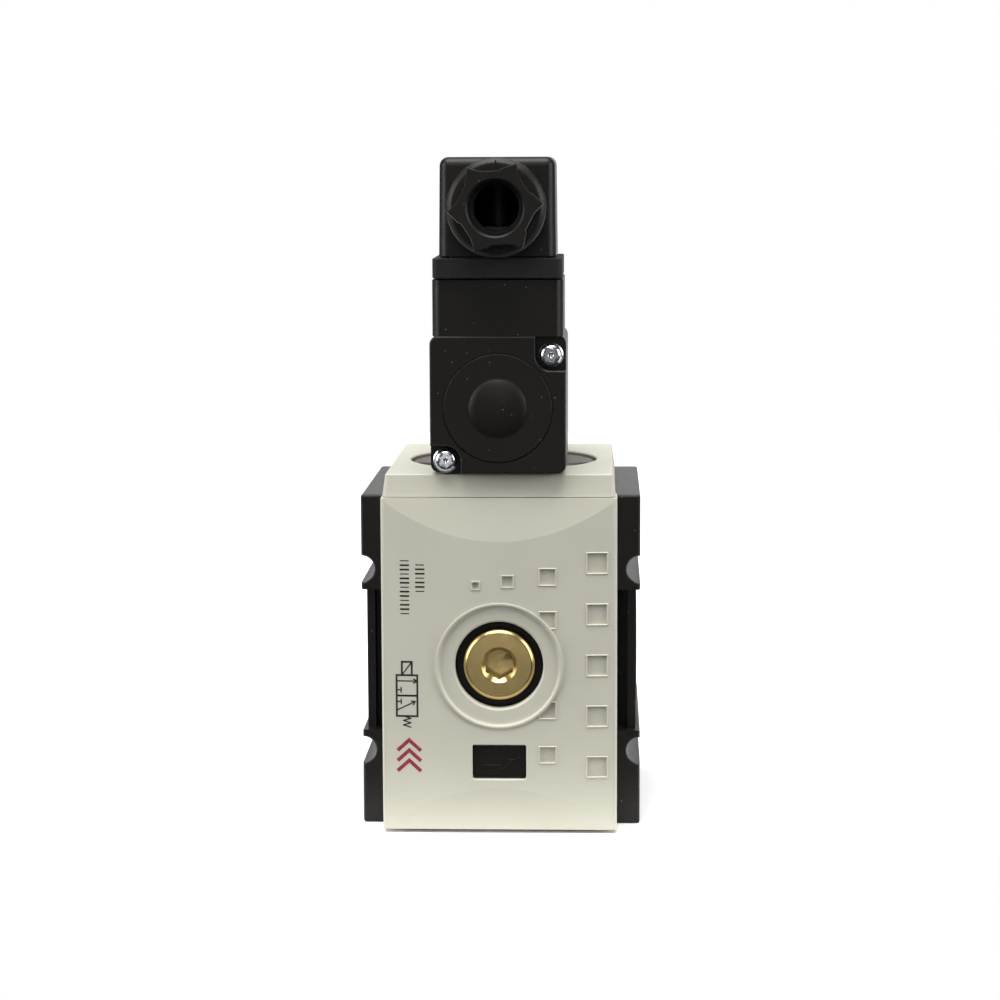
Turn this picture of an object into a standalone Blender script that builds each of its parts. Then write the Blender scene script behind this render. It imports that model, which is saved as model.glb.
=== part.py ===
"""Compressed-air 3/2-way shut-off valve with a solenoid pilot and a plug connector.

The stem axis is X = 0, Y = 0 while the pieces are laid out, +Y points to the rear and the base
is at Z = 0. Every piece hangs on one empty, which puts the finished origin at the middle of the
rear mounting face, level with the ports.
"""
import math

import bmesh
import bpy
from mathutils import Matrix

MM = 0.001

# ---------------------------------------------------------------- clearances
GAP = 0.3 * MM              # between pieces that touch
RUNNING = 0.3 * MM          # round a piece that slides or turns
PROUD = 1.0 * MM            # how far a cutter stands past the face it opens
MERGE = 0.00001             # merge distance of the turned shapes

# ---------------------------------------------------------------- valve body
BODY_WIDTH = 62.4 * MM
BODY_HEIGHT = 74.7 * MM
BODY_FRONT = -23.2 * MM
BODY_REAR = 32.8 * MM
EDGE_ROUND = 0.6 * MM
PORT_Z = BODY_HEIGHT / 2
SIDE_RECESS = 1.0 * MM
FLANGE_STEP = 3.0 * MM
FLANGE_SLOT = 8.0 * MM
FLANGE_LIP = 1.8 * MM
NOTCH_RADIUS = 3.05 * MM
NOTCH_PITCH = 41.2 * MM

# ---------------------------------------------------------------- bores and inserts
BORE_RADIUS = 15.0 * MM
BORE_FLOOR = 13.4 * MM
PORT_THREAD_RADIUS = 9.3 * MM
INSERT_WALL = 3.0 * MM
INSERT_LENGTH = 10.5 * MM
INSERT_RADIUS = PORT_THREAD_RADIUS + INSERT_WALL
SEAL_TO_INSERT = 2.4 * MM     # from the insert's rim to the middle of the port's face seal
FACE_SEAL_RADIUS = INSERT_RADIUS + SEAL_TO_INSERT
SEAL_TO_RECESS = 1.3 * MM     # from there to the edge of the side's recess
SIDE_RECESS_HEIGHT = 2 * (FACE_SEAL_RADIUS + SEAL_TO_RECESS)
SEAL_SECTION = 0.8 * MM
GALLERY_DEPTH = 6.0 * MM
GALLERY_WIDTH = 15.0 * MM
EXHAUST_INSERT_HEIGHT = 8.7 * MM
GUIDE_HEIGHT = 3.2 * MM
VENT_CIRCLE = 9.0 * MM
VENT_RADIUS = 2.0 * MM

# ---------------------------------------------------------------- stem, seats and piston
STROKE = 3.5 * MM
STEM_RADIUS = 3.0 * MM
STEM_BOTTOM = 6.0 * MM
STEM_END = 1.4 * MM         # thread seen above the nut
SEAT_LIP = 2.0 * MM
SLEEVE_WALL = 2.4 * MM
AIR_ROUND_POPPET = 2.1 * MM
POPPET_RADIUS = BORE_RADIUS - GAP - SLEEVE_WALL - AIR_ROUND_POPPET
SEAT_COVER = 1.7 * MM         # how far a poppet laps over its seat
SEAT_RADIUS = POPPET_RADIUS - SEAT_COVER
POPPET_HEIGHT = 4.0 * MM
INLET_SEAT_ABOVE_PORT = 5.6 * MM
EXHAUST_SEAT_BELOW_PORT = 15.4 * MM
WINDOW_WIDTH = 12.0 * MM
PISTON_HEIGHT = 5.5 * MM
PISTON_GROOVE = 1.3 * MM      # half the height of the seal's groove
PISTON_GROOVE_DEPTH = 2.1 * MM
PISTON_SEAL_SECTION = 0.9 * MM
SPIGOT_LENGTH = 7.0 * MM
SPIGOT_BORE = 8.0 * MM
NUT_RADIUS = 5.2 * MM
NUT_HEIGHT = 2.6 * MM
SPRING_RADIUS = 5.0 * MM
SPRING_WIRE = 0.6 * MM
SPRING_TURNS = 5

# ---------------------------------------------------------------- front cover and top cap
FLANGE_SHOW = 5.2 * MM      # width of body flange seen beside the cover
COVER_WIDTH = BODY_WIDTH - 2 * FLANGE_SHOW
COVER_DEPTH = 9.2 * MM
COVER_FRONT = BODY_FRONT - GAP - COVER_DEPTH
COVER_BOTTOM = 0.9 * MM
COVER_TOP = BODY_HEIGHT + 0.5 * MM
COVER_BULGE = 1.2 * MM
COVER_WALL = 2.0 * MM
FACET_HEIGHT = 9.2 * MM
FACET_SKIM = 0.05 * MM      # the planed facets also take this much off the corners
FACET_REACH = 20.0 * MM     # size of the block that planes a facet
RING_OVERLAP = 0.1 * MM     # how far the ring's back stands inside the shell
CAP_HEIGHT = 5.0 * MM
CAP_WALL = 1.9 * MM
CAP_BOTTOM = COVER_TOP + 0.1 * MM
CAP_TOP = CAP_BOTTOM + CAP_HEIGHT
CAP_SIDE_STEP = 0.55 * MM
CAP_FRONT_STEP = 0.6 * MM
CAP_DRAFT = 0.5 * MM
OPENING_RADIUS = 21.35 * MM
POST_RADIUS = 2.0 * MM
POST_DEPTH = 6.0 * MM
POST_INSET = 6.0 * MM

# ---------------------------------------------------------------- marks on the front cover
GAUGE_Z = PORT_Z + 0.7 * MM
GAUGE_HOLE_RADIUS = 9.75 * MM
RING_RADIUS = 13.7 * MM
RING_SECTION = 0.4 * MM
BEAD_RISE = 0.35 * MM
DISH_DEPTH = 0.45 * MM
SQUARE_DEPTH = 0.45 * MM
LARGE_SQUARE = 4.3 * MM
MEDIUM_SQUARE = 3.4 * MM
SMALL_SQUARE = 2.3 * MM
TINY_SQUARE = 1.4 * MM
COLUMN_MARGIN = 4.4 * MM
COLUMN_PITCH = 10.9 * MM
ROW_PITCH = 11.4 * MM
MEDIUM_HEIGHTS = (19.8 * MM, 10.2 * MM, -10.0 * MM, -20.0 * MM)
SMALL_SQUARE_PLACE = (8.8 * MM, 18.8 * MM)
TINY_SQUARE_PLACE = (15.8 * MM, 17.9 * MM)
WINDOW_SIZE = (11.9 * MM, 7.7 * MM)
WINDOW_Z = 16.4 * MM
PLATE_RIM = 1.4 * MM
PLATE_RIM_THICK = 1.6 * MM
PLATE_SETBACK = 0.9 * MM    # of its face behind the cover's crown

# ---------------------------------------------------------------- gauge port
BOSS_RADIUS = 11.6 * MM
BOSS_FACE = COVER_FRONT + 3.1 * MM
PLUG_HEAD_RADIUS = 7.9 * MM
PLUG_HEAD_HEIGHT = 2.7 * MM
PLUG_THREAD_RADIUS = 5.6 * MM
PLUG_THREAD_LENGTH = 8.5 * MM
PLUG_LIFT = 0.4 * MM        # gap under the head that the washer fills
PLUG_CHAMFER = 0.6 * MM
GAUGE_PASSAGE_RADIUS = 4.0 * MM
SOCKET_ACROSS_FLATS = 6.0 * MM
SOCKET_DEPTH = 5.0 * MM
GAUGE_INSERT_RADIUS = 7.6 * MM
GAUGE_INSERT_LENGTH = 9.0 * MM
WASHER_SEAT = 1.1 * MM

# ---------------------------------------------------------------- bonnet and pilot block
BONNET_HEIGHT = 4.6 * MM
RISER_WIDTH = 28.0 * MM
RISER_DEPTH = 8.0 * MM
RISER_FOOT_WIDTH = 23.6 * MM
RISER_FLOOR = 1.2 * MM      # left behind the blind screw holes
PILOT_TOP_STEP = 0.5 * MM   # of the pilot block and riser below the coil's top
SPIGOT_ROOF = 1.0 * MM
BONNET_GROOVE = 1.1 * MM
BONNET_GROOVE_DEPTH = 1.9 * MM
BONNET_SEAL_SECTION = 0.8 * MM
PILOT_BASE_DEPTH = 7.1 * MM
PILOT_ROUND = 2.4 * MM
GASKET_THICK = 0.8 * MM
BONNET_SCREW_PLACE = (17.2 * MM, -4.5 * MM)
SCREW_RADIUS = 1.3 * MM
BONNET_SCREW_HEAD = 2.5 * MM
BONNET_SCREW_LENGTH = 12.0 * MM
BONNET_HEAD_SINK = 0.8 * MM
BONNET_HEAD_DEPTH = 3.1 * MM
BONNET_SCREW_KEY = 2.5 * MM
BONNET_KEY_DEPTH = 1.5 * MM
OVERRIDE_RADIUS = 2.4 * MM
OVERRIDE_LENGTH = 6.0 * MM
OVERRIDE_HEIGHT = 12.0 * MM
OVERRIDE_PROUD = 0.6 * MM
OVERRIDE_SLOT = 0.45 * MM   # half its width
OVERRIDE_SLOT_DEPTH = 0.5 * MM
TUBE_SEAT_RADIUS = 8.3 * MM
TUBE_SEAT_DEPTH = 2.3 * MM
NOZZLE_SEAT_RADIUS = 1.4 * MM
MOAT_RADIUS = 5.0 * MM
MOAT_DEPTH = 4.2 * MM
NOZZLE_TOP_RADIUS = 3.0 * MM
NOZZLE_SETBACK = 2.6 * MM
NOZZLE_BORE = 0.6 * MM
GASKET_AIR_WAY = 1.6 * MM

# ---------------------------------------------------------------- solenoid coil
COIL_WIDTH = 29.6 * MM
COIL_HEIGHT = 30.0 * MM
COIL_DEPTH = 35.0 * MM
COIL_LIFT = 0.5 * MM        # gap under the coil, over the top cap
COIL_OVERHANG = 2.3 * MM
COIL_FRONT = COVER_FRONT - COIL_OVERHANG
COIL_REAR = COIL_FRONT + COIL_DEPTH
COIL_BOTTOM = CAP_TOP + COIL_LIFT
COIL_TOP = COIL_BOTTOM + COIL_HEIGHT
COIL_AXIS_DROP = 0.7 * MM    # of the coil's axis below the middle of its case
COIL_Z = (COIL_BOTTOM + COIL_TOP) / 2 - COIL_AXIS_DROP
COIL_ROUND = 1.1 * MM
NECK_ROUND = 2.2 * MM
COIL_CAVITY_RADIUS = 12.9 * MM
COIL_FRONT_WALL = 3.0 * MM
END_CAP_RADIUS = 11.9 * MM
END_CAP_DEPTH = 0.9 * MM
DOME_RADIUS = 6.4 * MM
DOME_RISE = 1.1 * MM
PILOT_SCREW_PLACE = 11.5 * MM
PILOT_HEAD_RADIUS = 2.75 * MM
PILOT_HEAD_HEIGHT = 2.0 * MM
NOTCH_DEPTH = 2.8 * MM
PILOT_HEAD_CROWN = 0.5 * MM
PILOT_SCREW_KEY = 2.2 * MM
PILOT_KEY_FLOOR = 1.1 * MM
END_CAP_HOLE = 4.0 * MM
END_CAP_STUB = 3.6 * MM
END_CAP_PROUD = 0.1 * MM
POCKET_FLAT = 0.2 * MM      # keeps the straight walls clear of the pocket's facets
YOKE_WALL = 1.4 * MM
BOBBIN_WALL = 1.0 * MM
TUBE_RADIUS = 4.6 * MM
TUBE_WALL = 0.5 * MM
TUBE_FOOT_RADIUS = 8.0 * MM
TUBE_FOOT = 2.0 * MM
PLUNGER_LENGTH = 14.6 * MM
PLUNGER_STROKE = 1.0 * MM
PLUNGER_POCKET = 4.5 * MM
PLUNGER_SEAL_RADIUS = 2.1 * MM
PLUNGER_SEAL_POCKET = 1.6 * MM
CORE_LENGTH = 16.0 * MM
PLUNGER_SPRING_RADIUS = 1.5 * MM
PLUNGER_SPRING_WIRE = 0.3 * MM

# ---------------------------------------------------------------- plug connector
NECK_WIDTH = 28.5 * MM
NECK_DEPTH = 28.0 * MM
NECK_HEIGHT = 12.2 * MM
NECK_SETBACK = 0.6 * MM
NECK_OVERLAP = 3.0 * MM
SCREW_THREAD_DEPTH = 7.0 * MM
SCREW_ENGAGED = 6.0 * MM
NECK_TOP = COIL_TOP + NECK_HEIGHT
GASKET_WIDTH = 28.1 * MM
GASKET_HEIGHT = 4.3 * MM
GASKET_REACH = 0.6 * MM     # how far the gasket stands in front of the coil
HOUSING_WIDTH = 25.4 * MM
HOUSING_DEPTH = 25.4 * MM
HOUSING_HEIGHT = 21.4 * MM
HOUSING_WALL = 1.6 * MM
HOUSING_ROUND = 2.0 * MM
CONNECTOR_Y = COIL_FRONT - GASKET_REACH + GASKET_WIDTH / 2
GASKET_BOTTOM = NECK_TOP + GAP
HOUSING_BOTTOM = GASKET_BOTTOM + GASKET_HEIGHT + GAP
HOUSING_TOP = HOUSING_BOTTOM + HOUSING_HEIGHT
HOUSING_FRONT = CONNECTOR_Y - HOUSING_DEPTH / 2
CARRIER_WIDTH = 21.0 * MM
CARRIER_HEIGHT = 10.4 * MM
PIN_SPREAD = 9.0 * MM
EARTH_OFFSET = 6.6 * MM
PIN_THICK = 0.9 * MM
PIN_WIDTH = 4.8 * MM
PIN_LENGTH = 14.5 * MM
PIN_ROOT = 6.0 * MM
TERMINAL_SIZE = (3.0 * MM, 6.8 * MM)
TERMINAL_FOOT = 1.0 * MM
TERMINAL_HEAD = 1.5 * MM
SCREW_SHANK = 1.5 * MM
SCREW_HEAD_RADIUS = 2.8 * MM
SCREW_HEAD_HEIGHT = 1.8 * MM
SCREW_HEAD_SINK = 0.5 * MM
SCREW_SLOT = 0.4 * MM       # half its width
SCREW_SLOT_DEPTH = 1.0 * MM
PILLAR_WALL = 1.6 * MM

# ---------------------------------------------------------------- cable gland
GLAND_Z = HOUSING_BOTTOM + 10.65 * MM
GLAND_RADIUS = 10.65 * MM
GLAND_BORE = 5.65 * MM
NOZZLE_LENGTH = 6.6 * MM
NOZZLE_RADIUS = 9.3 * MM
NOZZLE_WALL = 1.4 * MM
STAR_LENGTH = 3.6 * MM
NUT_FRONT_WALL = 3.9 * MM
STAR_SCALLOP = 2.2 * MM     # depth of the hollow between two star points
GLAND_WASHER = 0.8 * MM
GLAND_SEAL_GRIP = 0.8 * MM  # how far the seal reaches inside the bore
STAR_INSET = 0.15 * MM
STAR_TURN = 5               # degrees from +X to the first point
STAR_STEPS = ((0.0, 0.0), (0.22, 0.62), (0.40, 1.0), (0.62, 1.0), (0.82, 0.55))

SEGMENTS = 24
SMALL_SEGMENTS = 12
WIDE_SEGMENTS = 32

AXIS_TURN = {
    "X": (0.0, math.pi / 2, 0.0),
    "Y": (-math.pi / 2, 0.0, 0.0),
    "Z": (0.0, 0.0, 0.0),
}


# ================================================================ scene and materials
def clear_scene():
    for item in list(bpy.data.objects):
        bpy.data.objects.remove(item, do_unlink=True)


def new_collection(name):
    collection = bpy.data.collections.new(name)
    bpy.context.scene.collection.children.link(collection)
    return collection


def new_material(name, colour, roughness, metallic=0.0):
    material = bpy.data.materials.new(name)
    material.use_nodes = True
    surface = material.node_tree.nodes["Principled BSDF"]
    surface.inputs["Base Color"].default_value = (*colour, 1.0)
    surface.inputs["Roughness"].default_value = roughness
    surface.inputs["Metallic"].default_value = metallic
    return material


clear_scene()
PARTS = new_collection("solenoid_shutoff_valve")
CUTTERS = new_collection("cutters")

ORIGIN = bpy.data.objects.new("valve_origin", None)
ORIGIN.location = (0.0, -BODY_REAR, -PORT_Z)
PARTS.objects.link(ORIGIN)

GREY = new_material("light_grey_abs", (0.50, 0.49, 0.41), 0.45)
BLACK = new_material("black_polyamide", (0.010, 0.009, 0.009), 0.50)
DARK = new_material("dark_grey_polyamide", (0.045, 0.040, 0.036), 0.55)
RUBBER = new_material("black_rubber", (0.008, 0.008, 0.008), 0.75)
BRASS = new_material("brass", (0.60, 0.42, 0.16), 0.28, 1.0)
STEEL = new_material("zinc_plated_steel", (0.62, 0.62, 0.62), 0.25, 1.0)
ZINC = new_material("die_cast_zinc", (0.42, 0.42, 0.44), 0.45, 1.0)
COPPER = new_material("enamelled_copper", (0.50, 0.17, 0.06), 0.30, 1.0)
SPRING = new_material("spring_steel", (0.45, 0.45, 0.47), 0.30, 1.0)


# ================================================================ shapes
def place(name, mesh, material, location=(0.0, 0.0, 0.0), axis="Z"):
    """Link a mesh as a part, or as a cutter where it has no material."""
    item = bpy.data.objects.new(name, mesh)
    item.location = location
    item.rotation_euler = AXIS_TURN[axis]
    item.parent = ORIGIN
    if material is None:
        CUTTERS.objects.link(item)
        item.hide_render = True
        item.display_type = "WIRE"
    else:
        PARTS.objects.link(item)
        mesh.materials.append(material)
    return item


def mesh_from(name, made):
    mesh = bpy.data.meshes.new(name)
    made.to_mesh(mesh)
    made.free()
    return mesh


def block(name, low, high, material=None):
    """A box between two corners."""
    size = [b - a for a, b in zip(low, high)]
    middle = [(a + b) / 2 for a, b in zip(low, high)]
    made = bmesh.new()
    bmesh.ops.create_cube(made, size=1.0, matrix=Matrix.Diagonal((*size, 1.0)))
    return place(name, mesh_from(name, made), material, middle)


def rod(name, centre, radius, start, stop, axis, material=None, segments=SEGMENTS):
    """A cylinder between two stations on its axis; centre holds the axis's place."""
    made = bmesh.new()
    middle = Matrix.Translation((0.0, 0.0, (start + stop) / 2))
    bmesh.ops.create_cone(made, cap_ends=True, segments=segments, radius1=radius,
                          radius2=radius, depth=stop - start, matrix=middle)
    mesh = mesh_from(name, made)
    mesh.shade_smooth()
    mesh.set_sharp_from_angle(angle=math.radians(35))
    return place(name, mesh, material, centre, axis)


def turned(name, centre, profile, axis, material=None, segments=SEGMENTS):
    """A profile of (radius, station) points spun round its axis.

    A profile with both ends on the axis is a solid piece, any other is closed to a ring.
    """
    solid = profile[0][0] == 0.0 and profile[-1][0] == 0.0
    following = profile[1:] + profile[:1]
    area = sum(r * t - q * s for (r, s), (q, t) in zip(profile, following))
    points = profile if area < 0.0 else profile[::-1]
    made = bmesh.new()
    verts = [made.verts.new((radius, 0.0, station)) for radius, station in points]
    for first, second in zip(verts, verts[1:] + ([] if solid else verts[:1])):
        made.edges.new((first, second))
    item = place(name, mesh_from(name, made), material, centre, axis)
    screw = item.modifiers.new("spin", "SCREW")
    screw.axis = "Z"
    screw.angle = 2 * math.pi
    screw.steps = screw.render_steps = segments
    screw.use_merge_vertices = True
    screw.merge_threshold = MERGE
    screw.use_smooth_shade = True
    return item


def ring(name, centre, inner, outer, start, stop, axis, material=None, segments=SEGMENTS):
    profile = [(outer, stop), (outer, start), (inner, start), (inner, stop)]
    return turned(name, centre, profile, axis, material, segments)


def seal_ring(name, centre, radius, section, station, axis, material, segments=SEGMENTS):
    """An O-ring: a round section spun at its radius."""
    turns = [2 * math.pi * step / 6 for step in range(6)]
    profile = [(radius + section * math.cos(a), station + section * math.sin(a)) for a in turns]
    return turned(name, centre, profile, axis, material, segments)


def outline(name, points, start, stop, material=None, location=(0.0, 0.0, 0.0), axis="Z"):
    """A flat closed outline with a thickness, between two stations on its axis."""
    curve = bpy.data.curves.new(name, "CURVE")
    curve.dimensions = "2D"
    curve.fill_mode = "BOTH"
    curve.extrude = (stop - start) / 2
    spline = curve.splines.new("POLY")
    spline.points.add(len(points) - 1)
    for point, (x, y) in zip(spline.points, points):
        point.co = (x, y, 0.0, 1.0)
    spline.use_cyclic_u = True
    drawn = bpy.data.objects.new(name + "_outline", curve)
    CUTTERS.objects.link(drawn)
    bpy.context.view_layer.update()
    seen = drawn.evaluated_get(bpy.context.evaluated_depsgraph_get())
    made = bmesh.new()
    made.from_mesh(bpy.data.meshes.new_from_object(seen))
    bpy.data.objects.remove(drawn, do_unlink=True)
    bmesh.ops.remove_doubles(made, verts=made.verts, dist=MERGE)
    bmesh.ops.translate(made, verts=made.verts, vec=(0.0, 0.0, (start + stop) / 2))
    bmesh.ops.recalc_face_normals(made, faces=made.faces)
    return place(name, mesh_from(name, made), material, location, axis)


def coil_spring(name, centre, radius, wire, start, stop, turns, axis, material):
    """An open coil of round wire; the end turns lie flatter than the rest."""
    curve = bpy.data.curves.new(name, "CURVE")
    curve.dimensions = "3D"
    curve.bevel_depth = wire
    curve.bevel_resolution = 0
    curve.use_fill_caps = True
    per_turn = 10
    count = turns * per_turn
    length = stop - start - 2 * wire
    spline = curve.splines.new("POLY")
    spline.points.add(count)
    for step, point in enumerate(spline.points):
        share = step / count
        eased = share - math.sin(2 * math.pi * share) / (2 * math.pi) * 0.35
        angle = 2 * math.pi * turns * share
        height = start + wire + length * eased
        point.co = (radius * math.cos(angle), radius * math.sin(angle), height, 1.0)
    drawn = bpy.data.objects.new(name + "_path", curve)
    CUTTERS.objects.link(drawn)
    bpy.context.view_layer.update()
    seen = drawn.evaluated_get(bpy.context.evaluated_depsgraph_get())
    made = bmesh.new()
    made.from_mesh(bpy.data.meshes.new_from_object(seen))
    bpy.data.objects.remove(drawn, do_unlink=True)
    bmesh.ops.remove_doubles(made, verts=made.verts, dist=MERGE)
    bmesh.ops.recalc_face_normals(made, faces=made.faces)
    return place(name, mesh_from(name, made), material, centre, axis)


def combine(item, tool, how="DIFFERENCE"):
    change = item.modifiers.new(how.lower(), "BOOLEAN")
    change.operation = how
    change.solver = "EXACT"
    change.object = tool


def cut(item, *tools):
    for tool in tools:
        combine(item, tool)


def join(item, *tools):
    for tool in tools:
        combine(item, tool, "UNION")


def soften(item, width, segments=2, edges=None):
    """Round the edges of a block; edges picks one direction only."""
    bevel = item.modifiers.new("rounded", "BEVEL")
    bevel.width = width
    bevel.segments = segments
    bevel.limit_method = "ANGLE"
    if edges is not None:
        bevel.limit_method = "WEIGHT"
        weights = item.data.attributes.new("bevel_weight_edge", "FLOAT", "EDGE")
        for edge in item.data.edges:
            first, second = (item.data.vertices[v].co for v in edge.vertices)
            along = (second - first).normalized()
            weights.data[edge.index].value = 1.0 if abs(along["XYZ".index(edges)]) > 0.9 else 0.0


def hexagon(across_flats, turn=0.0):
    radius = across_flats / math.sqrt(3)
    angles = [turn + math.radians(60 * step) for step in range(6)]
    return [(radius * math.cos(a), radius * math.sin(a)) for a in angles]


# ================================================================ valve body
FACE_X = BODY_WIDTH / 2 - SIDE_RECESS
SIDES = {"inlet": -1, "outlet": 1}
PISTON_TOP = BODY_HEIGHT - SPIGOT_LENGTH - 2 * GAP
PISTON_BOTTOM = PISTON_TOP - PISTON_HEIGHT
SLEEVE_TOP = PISTON_BOTTOM - STROKE - 2 * GAP
SLEEVE_RADIUS = BORE_RADIUS - GAP
SLEEVE_BORE = SLEEVE_RADIUS - SLEEVE_WALL
INLET_SEAT = PORT_Z + INLET_SEAT_ABOVE_PORT
EXHAUST_SEAT = PORT_Z - EXHAUST_SEAT_BELOW_PORT
GALLERY_X = BORE_RADIUS + GALLERY_DEPTH
PILOT_FRONT = COIL_REAR + GAP
RISER_FRONT = PILOT_FRONT + PILOT_BASE_DEPTH + GASKET_THICK + 2 * GAP
RISER_REAR = RISER_FRONT + RISER_DEPTH
BONNET_BOTTOM = BODY_HEIGHT + GAP
BONNET_TOP = BONNET_BOTTOM + BONNET_HEIGHT
BONNET_RADIUS = OPENING_RADIUS - GAP
CAP_REAR = BODY_REAR - GAP
COVER_X = COVER_WIDTH / 2
CAP_X = COVER_X - CAP_SIDE_STEP
CAP_FRONT = COVER_FRONT + CAP_FRONT_STEP
PLATE_REAR = COVER_FRONT + COVER_WALL + GAP + PLATE_RIM_THICK

COVER_POSTS = [(side * (COVER_X - POST_INSET), z) for side in (-1, 1)
               for z in (COVER_BOTTOM + POST_INSET, COVER_TOP - POST_INSET)]
CAP_POSTS = [(side * (CAP_X - POST_INSET / 2), y) for side in (-1, 1)
             for y in (BODY_FRONT + 2 * POST_INSET, CAP_REAR - POST_INSET)]


def make_valve_body():
    """Moulded block with side flanges; its bores and galleries carry the air."""
    half = BODY_WIDTH / 2
    body = block("valve_body", (-half, BODY_FRONT, 0.0), (half, BODY_REAR, BODY_HEIGHT), BLACK)
    soften(body, EDGE_ROUND, 1)
    join(body, rod("boss", (0.0, 0.0, GAUGE_Z), BOSS_RADIUS, BOSS_FACE,
                   BODY_FRONT + PROUD, "Y"))
    pad_x, pad_z = (size / 2 for size in WINDOW_SIZE)
    join(body, block("window_pad", (-pad_x, PLATE_REAR + GAP, WINDOW_Z - pad_z),
                     (pad_x, BODY_FRONT + PROUD, WINDOW_Z + pad_z)))
    for side in (-1, 1):
        make_side_cuts(body, side, half)
    cut(body, rod("main_bore", (0.0, 0.0, 0.0), BORE_RADIUS, BORE_FLOOR,
                  BODY_HEIGHT + PROUD, "Z"))
    cut(body, rod("exhaust_bore", (0.0, 0.0, 0.0), INSERT_RADIUS + GAP, -PROUD,
                  BORE_FLOOR + PROUD, "Z"))
    gauge = (0.0, 0.0, GAUGE_Z)
    insert_front = BOSS_FACE + WASHER_SEAT
    insert_rear = insert_front + GAUGE_INSERT_LENGTH
    cut(body,
        rod("gauge_seat", gauge, GAUGE_INSERT_RADIUS + GAP, BOSS_FACE - PROUD,
            insert_rear + GAP, "Y"),
        rod("gauge_passage", gauge, GAUGE_PASSAGE_RADIUS, insert_rear - PROUD,
            -BORE_RADIUS + 2 * PROUD, "Y", segments=SMALL_SEGMENTS))
    for number, (x, z) in enumerate(COVER_POSTS):
        cut(body, rod(f"cover_hole_{number}", (x, 0.0, z), POST_RADIUS + GAP,
                      BODY_FRONT - PROUD, BODY_FRONT + POST_DEPTH + GAP, "Y",
                      segments=SMALL_SEGMENTS))
    for number, (x, y) in enumerate(CAP_POSTS):
        cut(body, rod(f"cap_hole_{number}", (x, y, 0.0), POST_RADIUS + GAP,
                      BODY_HEIGHT - POST_DEPTH - GAP, BODY_HEIGHT + PROUD, "Z",
                      segments=SMALL_SEGMENTS))
    x, y = BONNET_SCREW_PLACE
    for side in (-1, 1):
        cut(body, rod(f"bonnet_thread_{side}", (side * x, y, 0.0), SCREW_RADIUS + GAP,
                      BONNET_TOP - BONNET_SCREW_LENGTH - 4 * GAP, BODY_HEIGHT + PROUD, "Z",
                      segments=SMALL_SEGMENTS))


def make_side_cuts(body, side, half):
    """One side of the body: the recessed port face, the clamp notches, the port and its seal."""
    def across(near, far):
        return min(side * near, side * far), max(side * near, side * far)

    port = (0.0, 0.0, PORT_Z)
    recess_low = PORT_Z - SIDE_RECESS_HEIGHT / 2
    recess_high = PORT_Z + SIDE_RECESS_HEIGHT / 2
    low_x, high_x = across(FACE_X, half + PROUD)
    cut(body, block(f"side_recess_{side}", (low_x, BODY_FRONT - PROUD, recess_low),
                    (high_x, BODY_REAR + PROUD, recess_high)))
    low_x, high_x = across(FACE_X - FLANGE_LIP, half + PROUD)
    cut(body, block(f"flange_step_{side}", (low_x, BODY_FRONT - PROUD, recess_low),
                    (high_x, BODY_FRONT + FLANGE_STEP, recess_high)))
    low_x, high_x = across(COVER_X, FACE_X - FLANGE_LIP)
    cut(body, block(f"flange_slot_{side}", (low_x, BODY_FRONT - PROUD, recess_low),
                    (high_x, BODY_FRONT + FLANGE_SLOT, recess_high)))
    for level in (-1, 1):
        notch = (side * half, 0.0, PORT_Z + level * NOTCH_PITCH / 2)
        cut(body, rod(f"clamp_notch_{side}_{level}", notch, NOTCH_RADIUS, BODY_FRONT - PROUD,
                      BODY_REAR + PROUD, "Y", segments=SMALL_SEGMENTS))
    low_x, high_x = across(FACE_X - INSERT_LENGTH - GAP, half + PROUD)
    cut(body, rod(f"insert_seat_{side}", port, INSERT_RADIUS + GAP, low_x, high_x, "X"))
    low_x, high_x = across(BORE_RADIUS - PROUD, FACE_X)
    cut(body, rod(f"port_bore_{side}", port, PORT_THREAD_RADIUS, low_x, high_x, "X"))
    low_x, high_x = across(FACE_X - 2 * SEAL_SECTION, FACE_X + PROUD)
    groove = SEAL_SECTION + GAP
    cut(body, ring(f"seal_groove_{side}", port, FACE_SEAL_RADIUS - groove,
                   FACE_SEAL_RADIUS + groove, low_x, high_x, "X"))
    gallery_top = SLEEVE_TOP - 2 * SEAT_LIP if side < 0 else PORT_Z + PORT_THREAD_RADIUS / 2
    low_x, high_x = across(BORE_RADIUS - 4 * PROUD, GALLERY_X)
    cut(body, block(f"gallery_{side}", (low_x, -GALLERY_WIDTH / 2, PORT_Z - PORT_THREAD_RADIUS / 2),
                    (high_x, GALLERY_WIDTH / 2, gallery_top)))


def make_port_inserts():
    """Threaded metal rings in the two ports and the exhaust, with their face seals."""
    port = (0.0, 0.0, PORT_Z)
    for name, side in SIDES.items():
        stations = sorted((side * FACE_X, side * (FACE_X - INSERT_LENGTH)))
        ring(f"{name}_thread_insert", port, PORT_THREAD_RADIUS, INSERT_RADIUS, *stations, "X", ZINC)
        station = side * (FACE_X - SEAL_SECTION + GAP)
        seal_ring(f"{name}_face_seal", port, FACE_SEAL_RADIUS, SEAL_SECTION, station, "X", RUBBER)
    ring("exhaust_thread_insert", (0.0, 0.0, 0.0), PORT_THREAD_RADIUS, INSERT_RADIUS,
         GAP, EXHAUST_INSERT_HEIGHT, "Z", ZINC)


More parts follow.
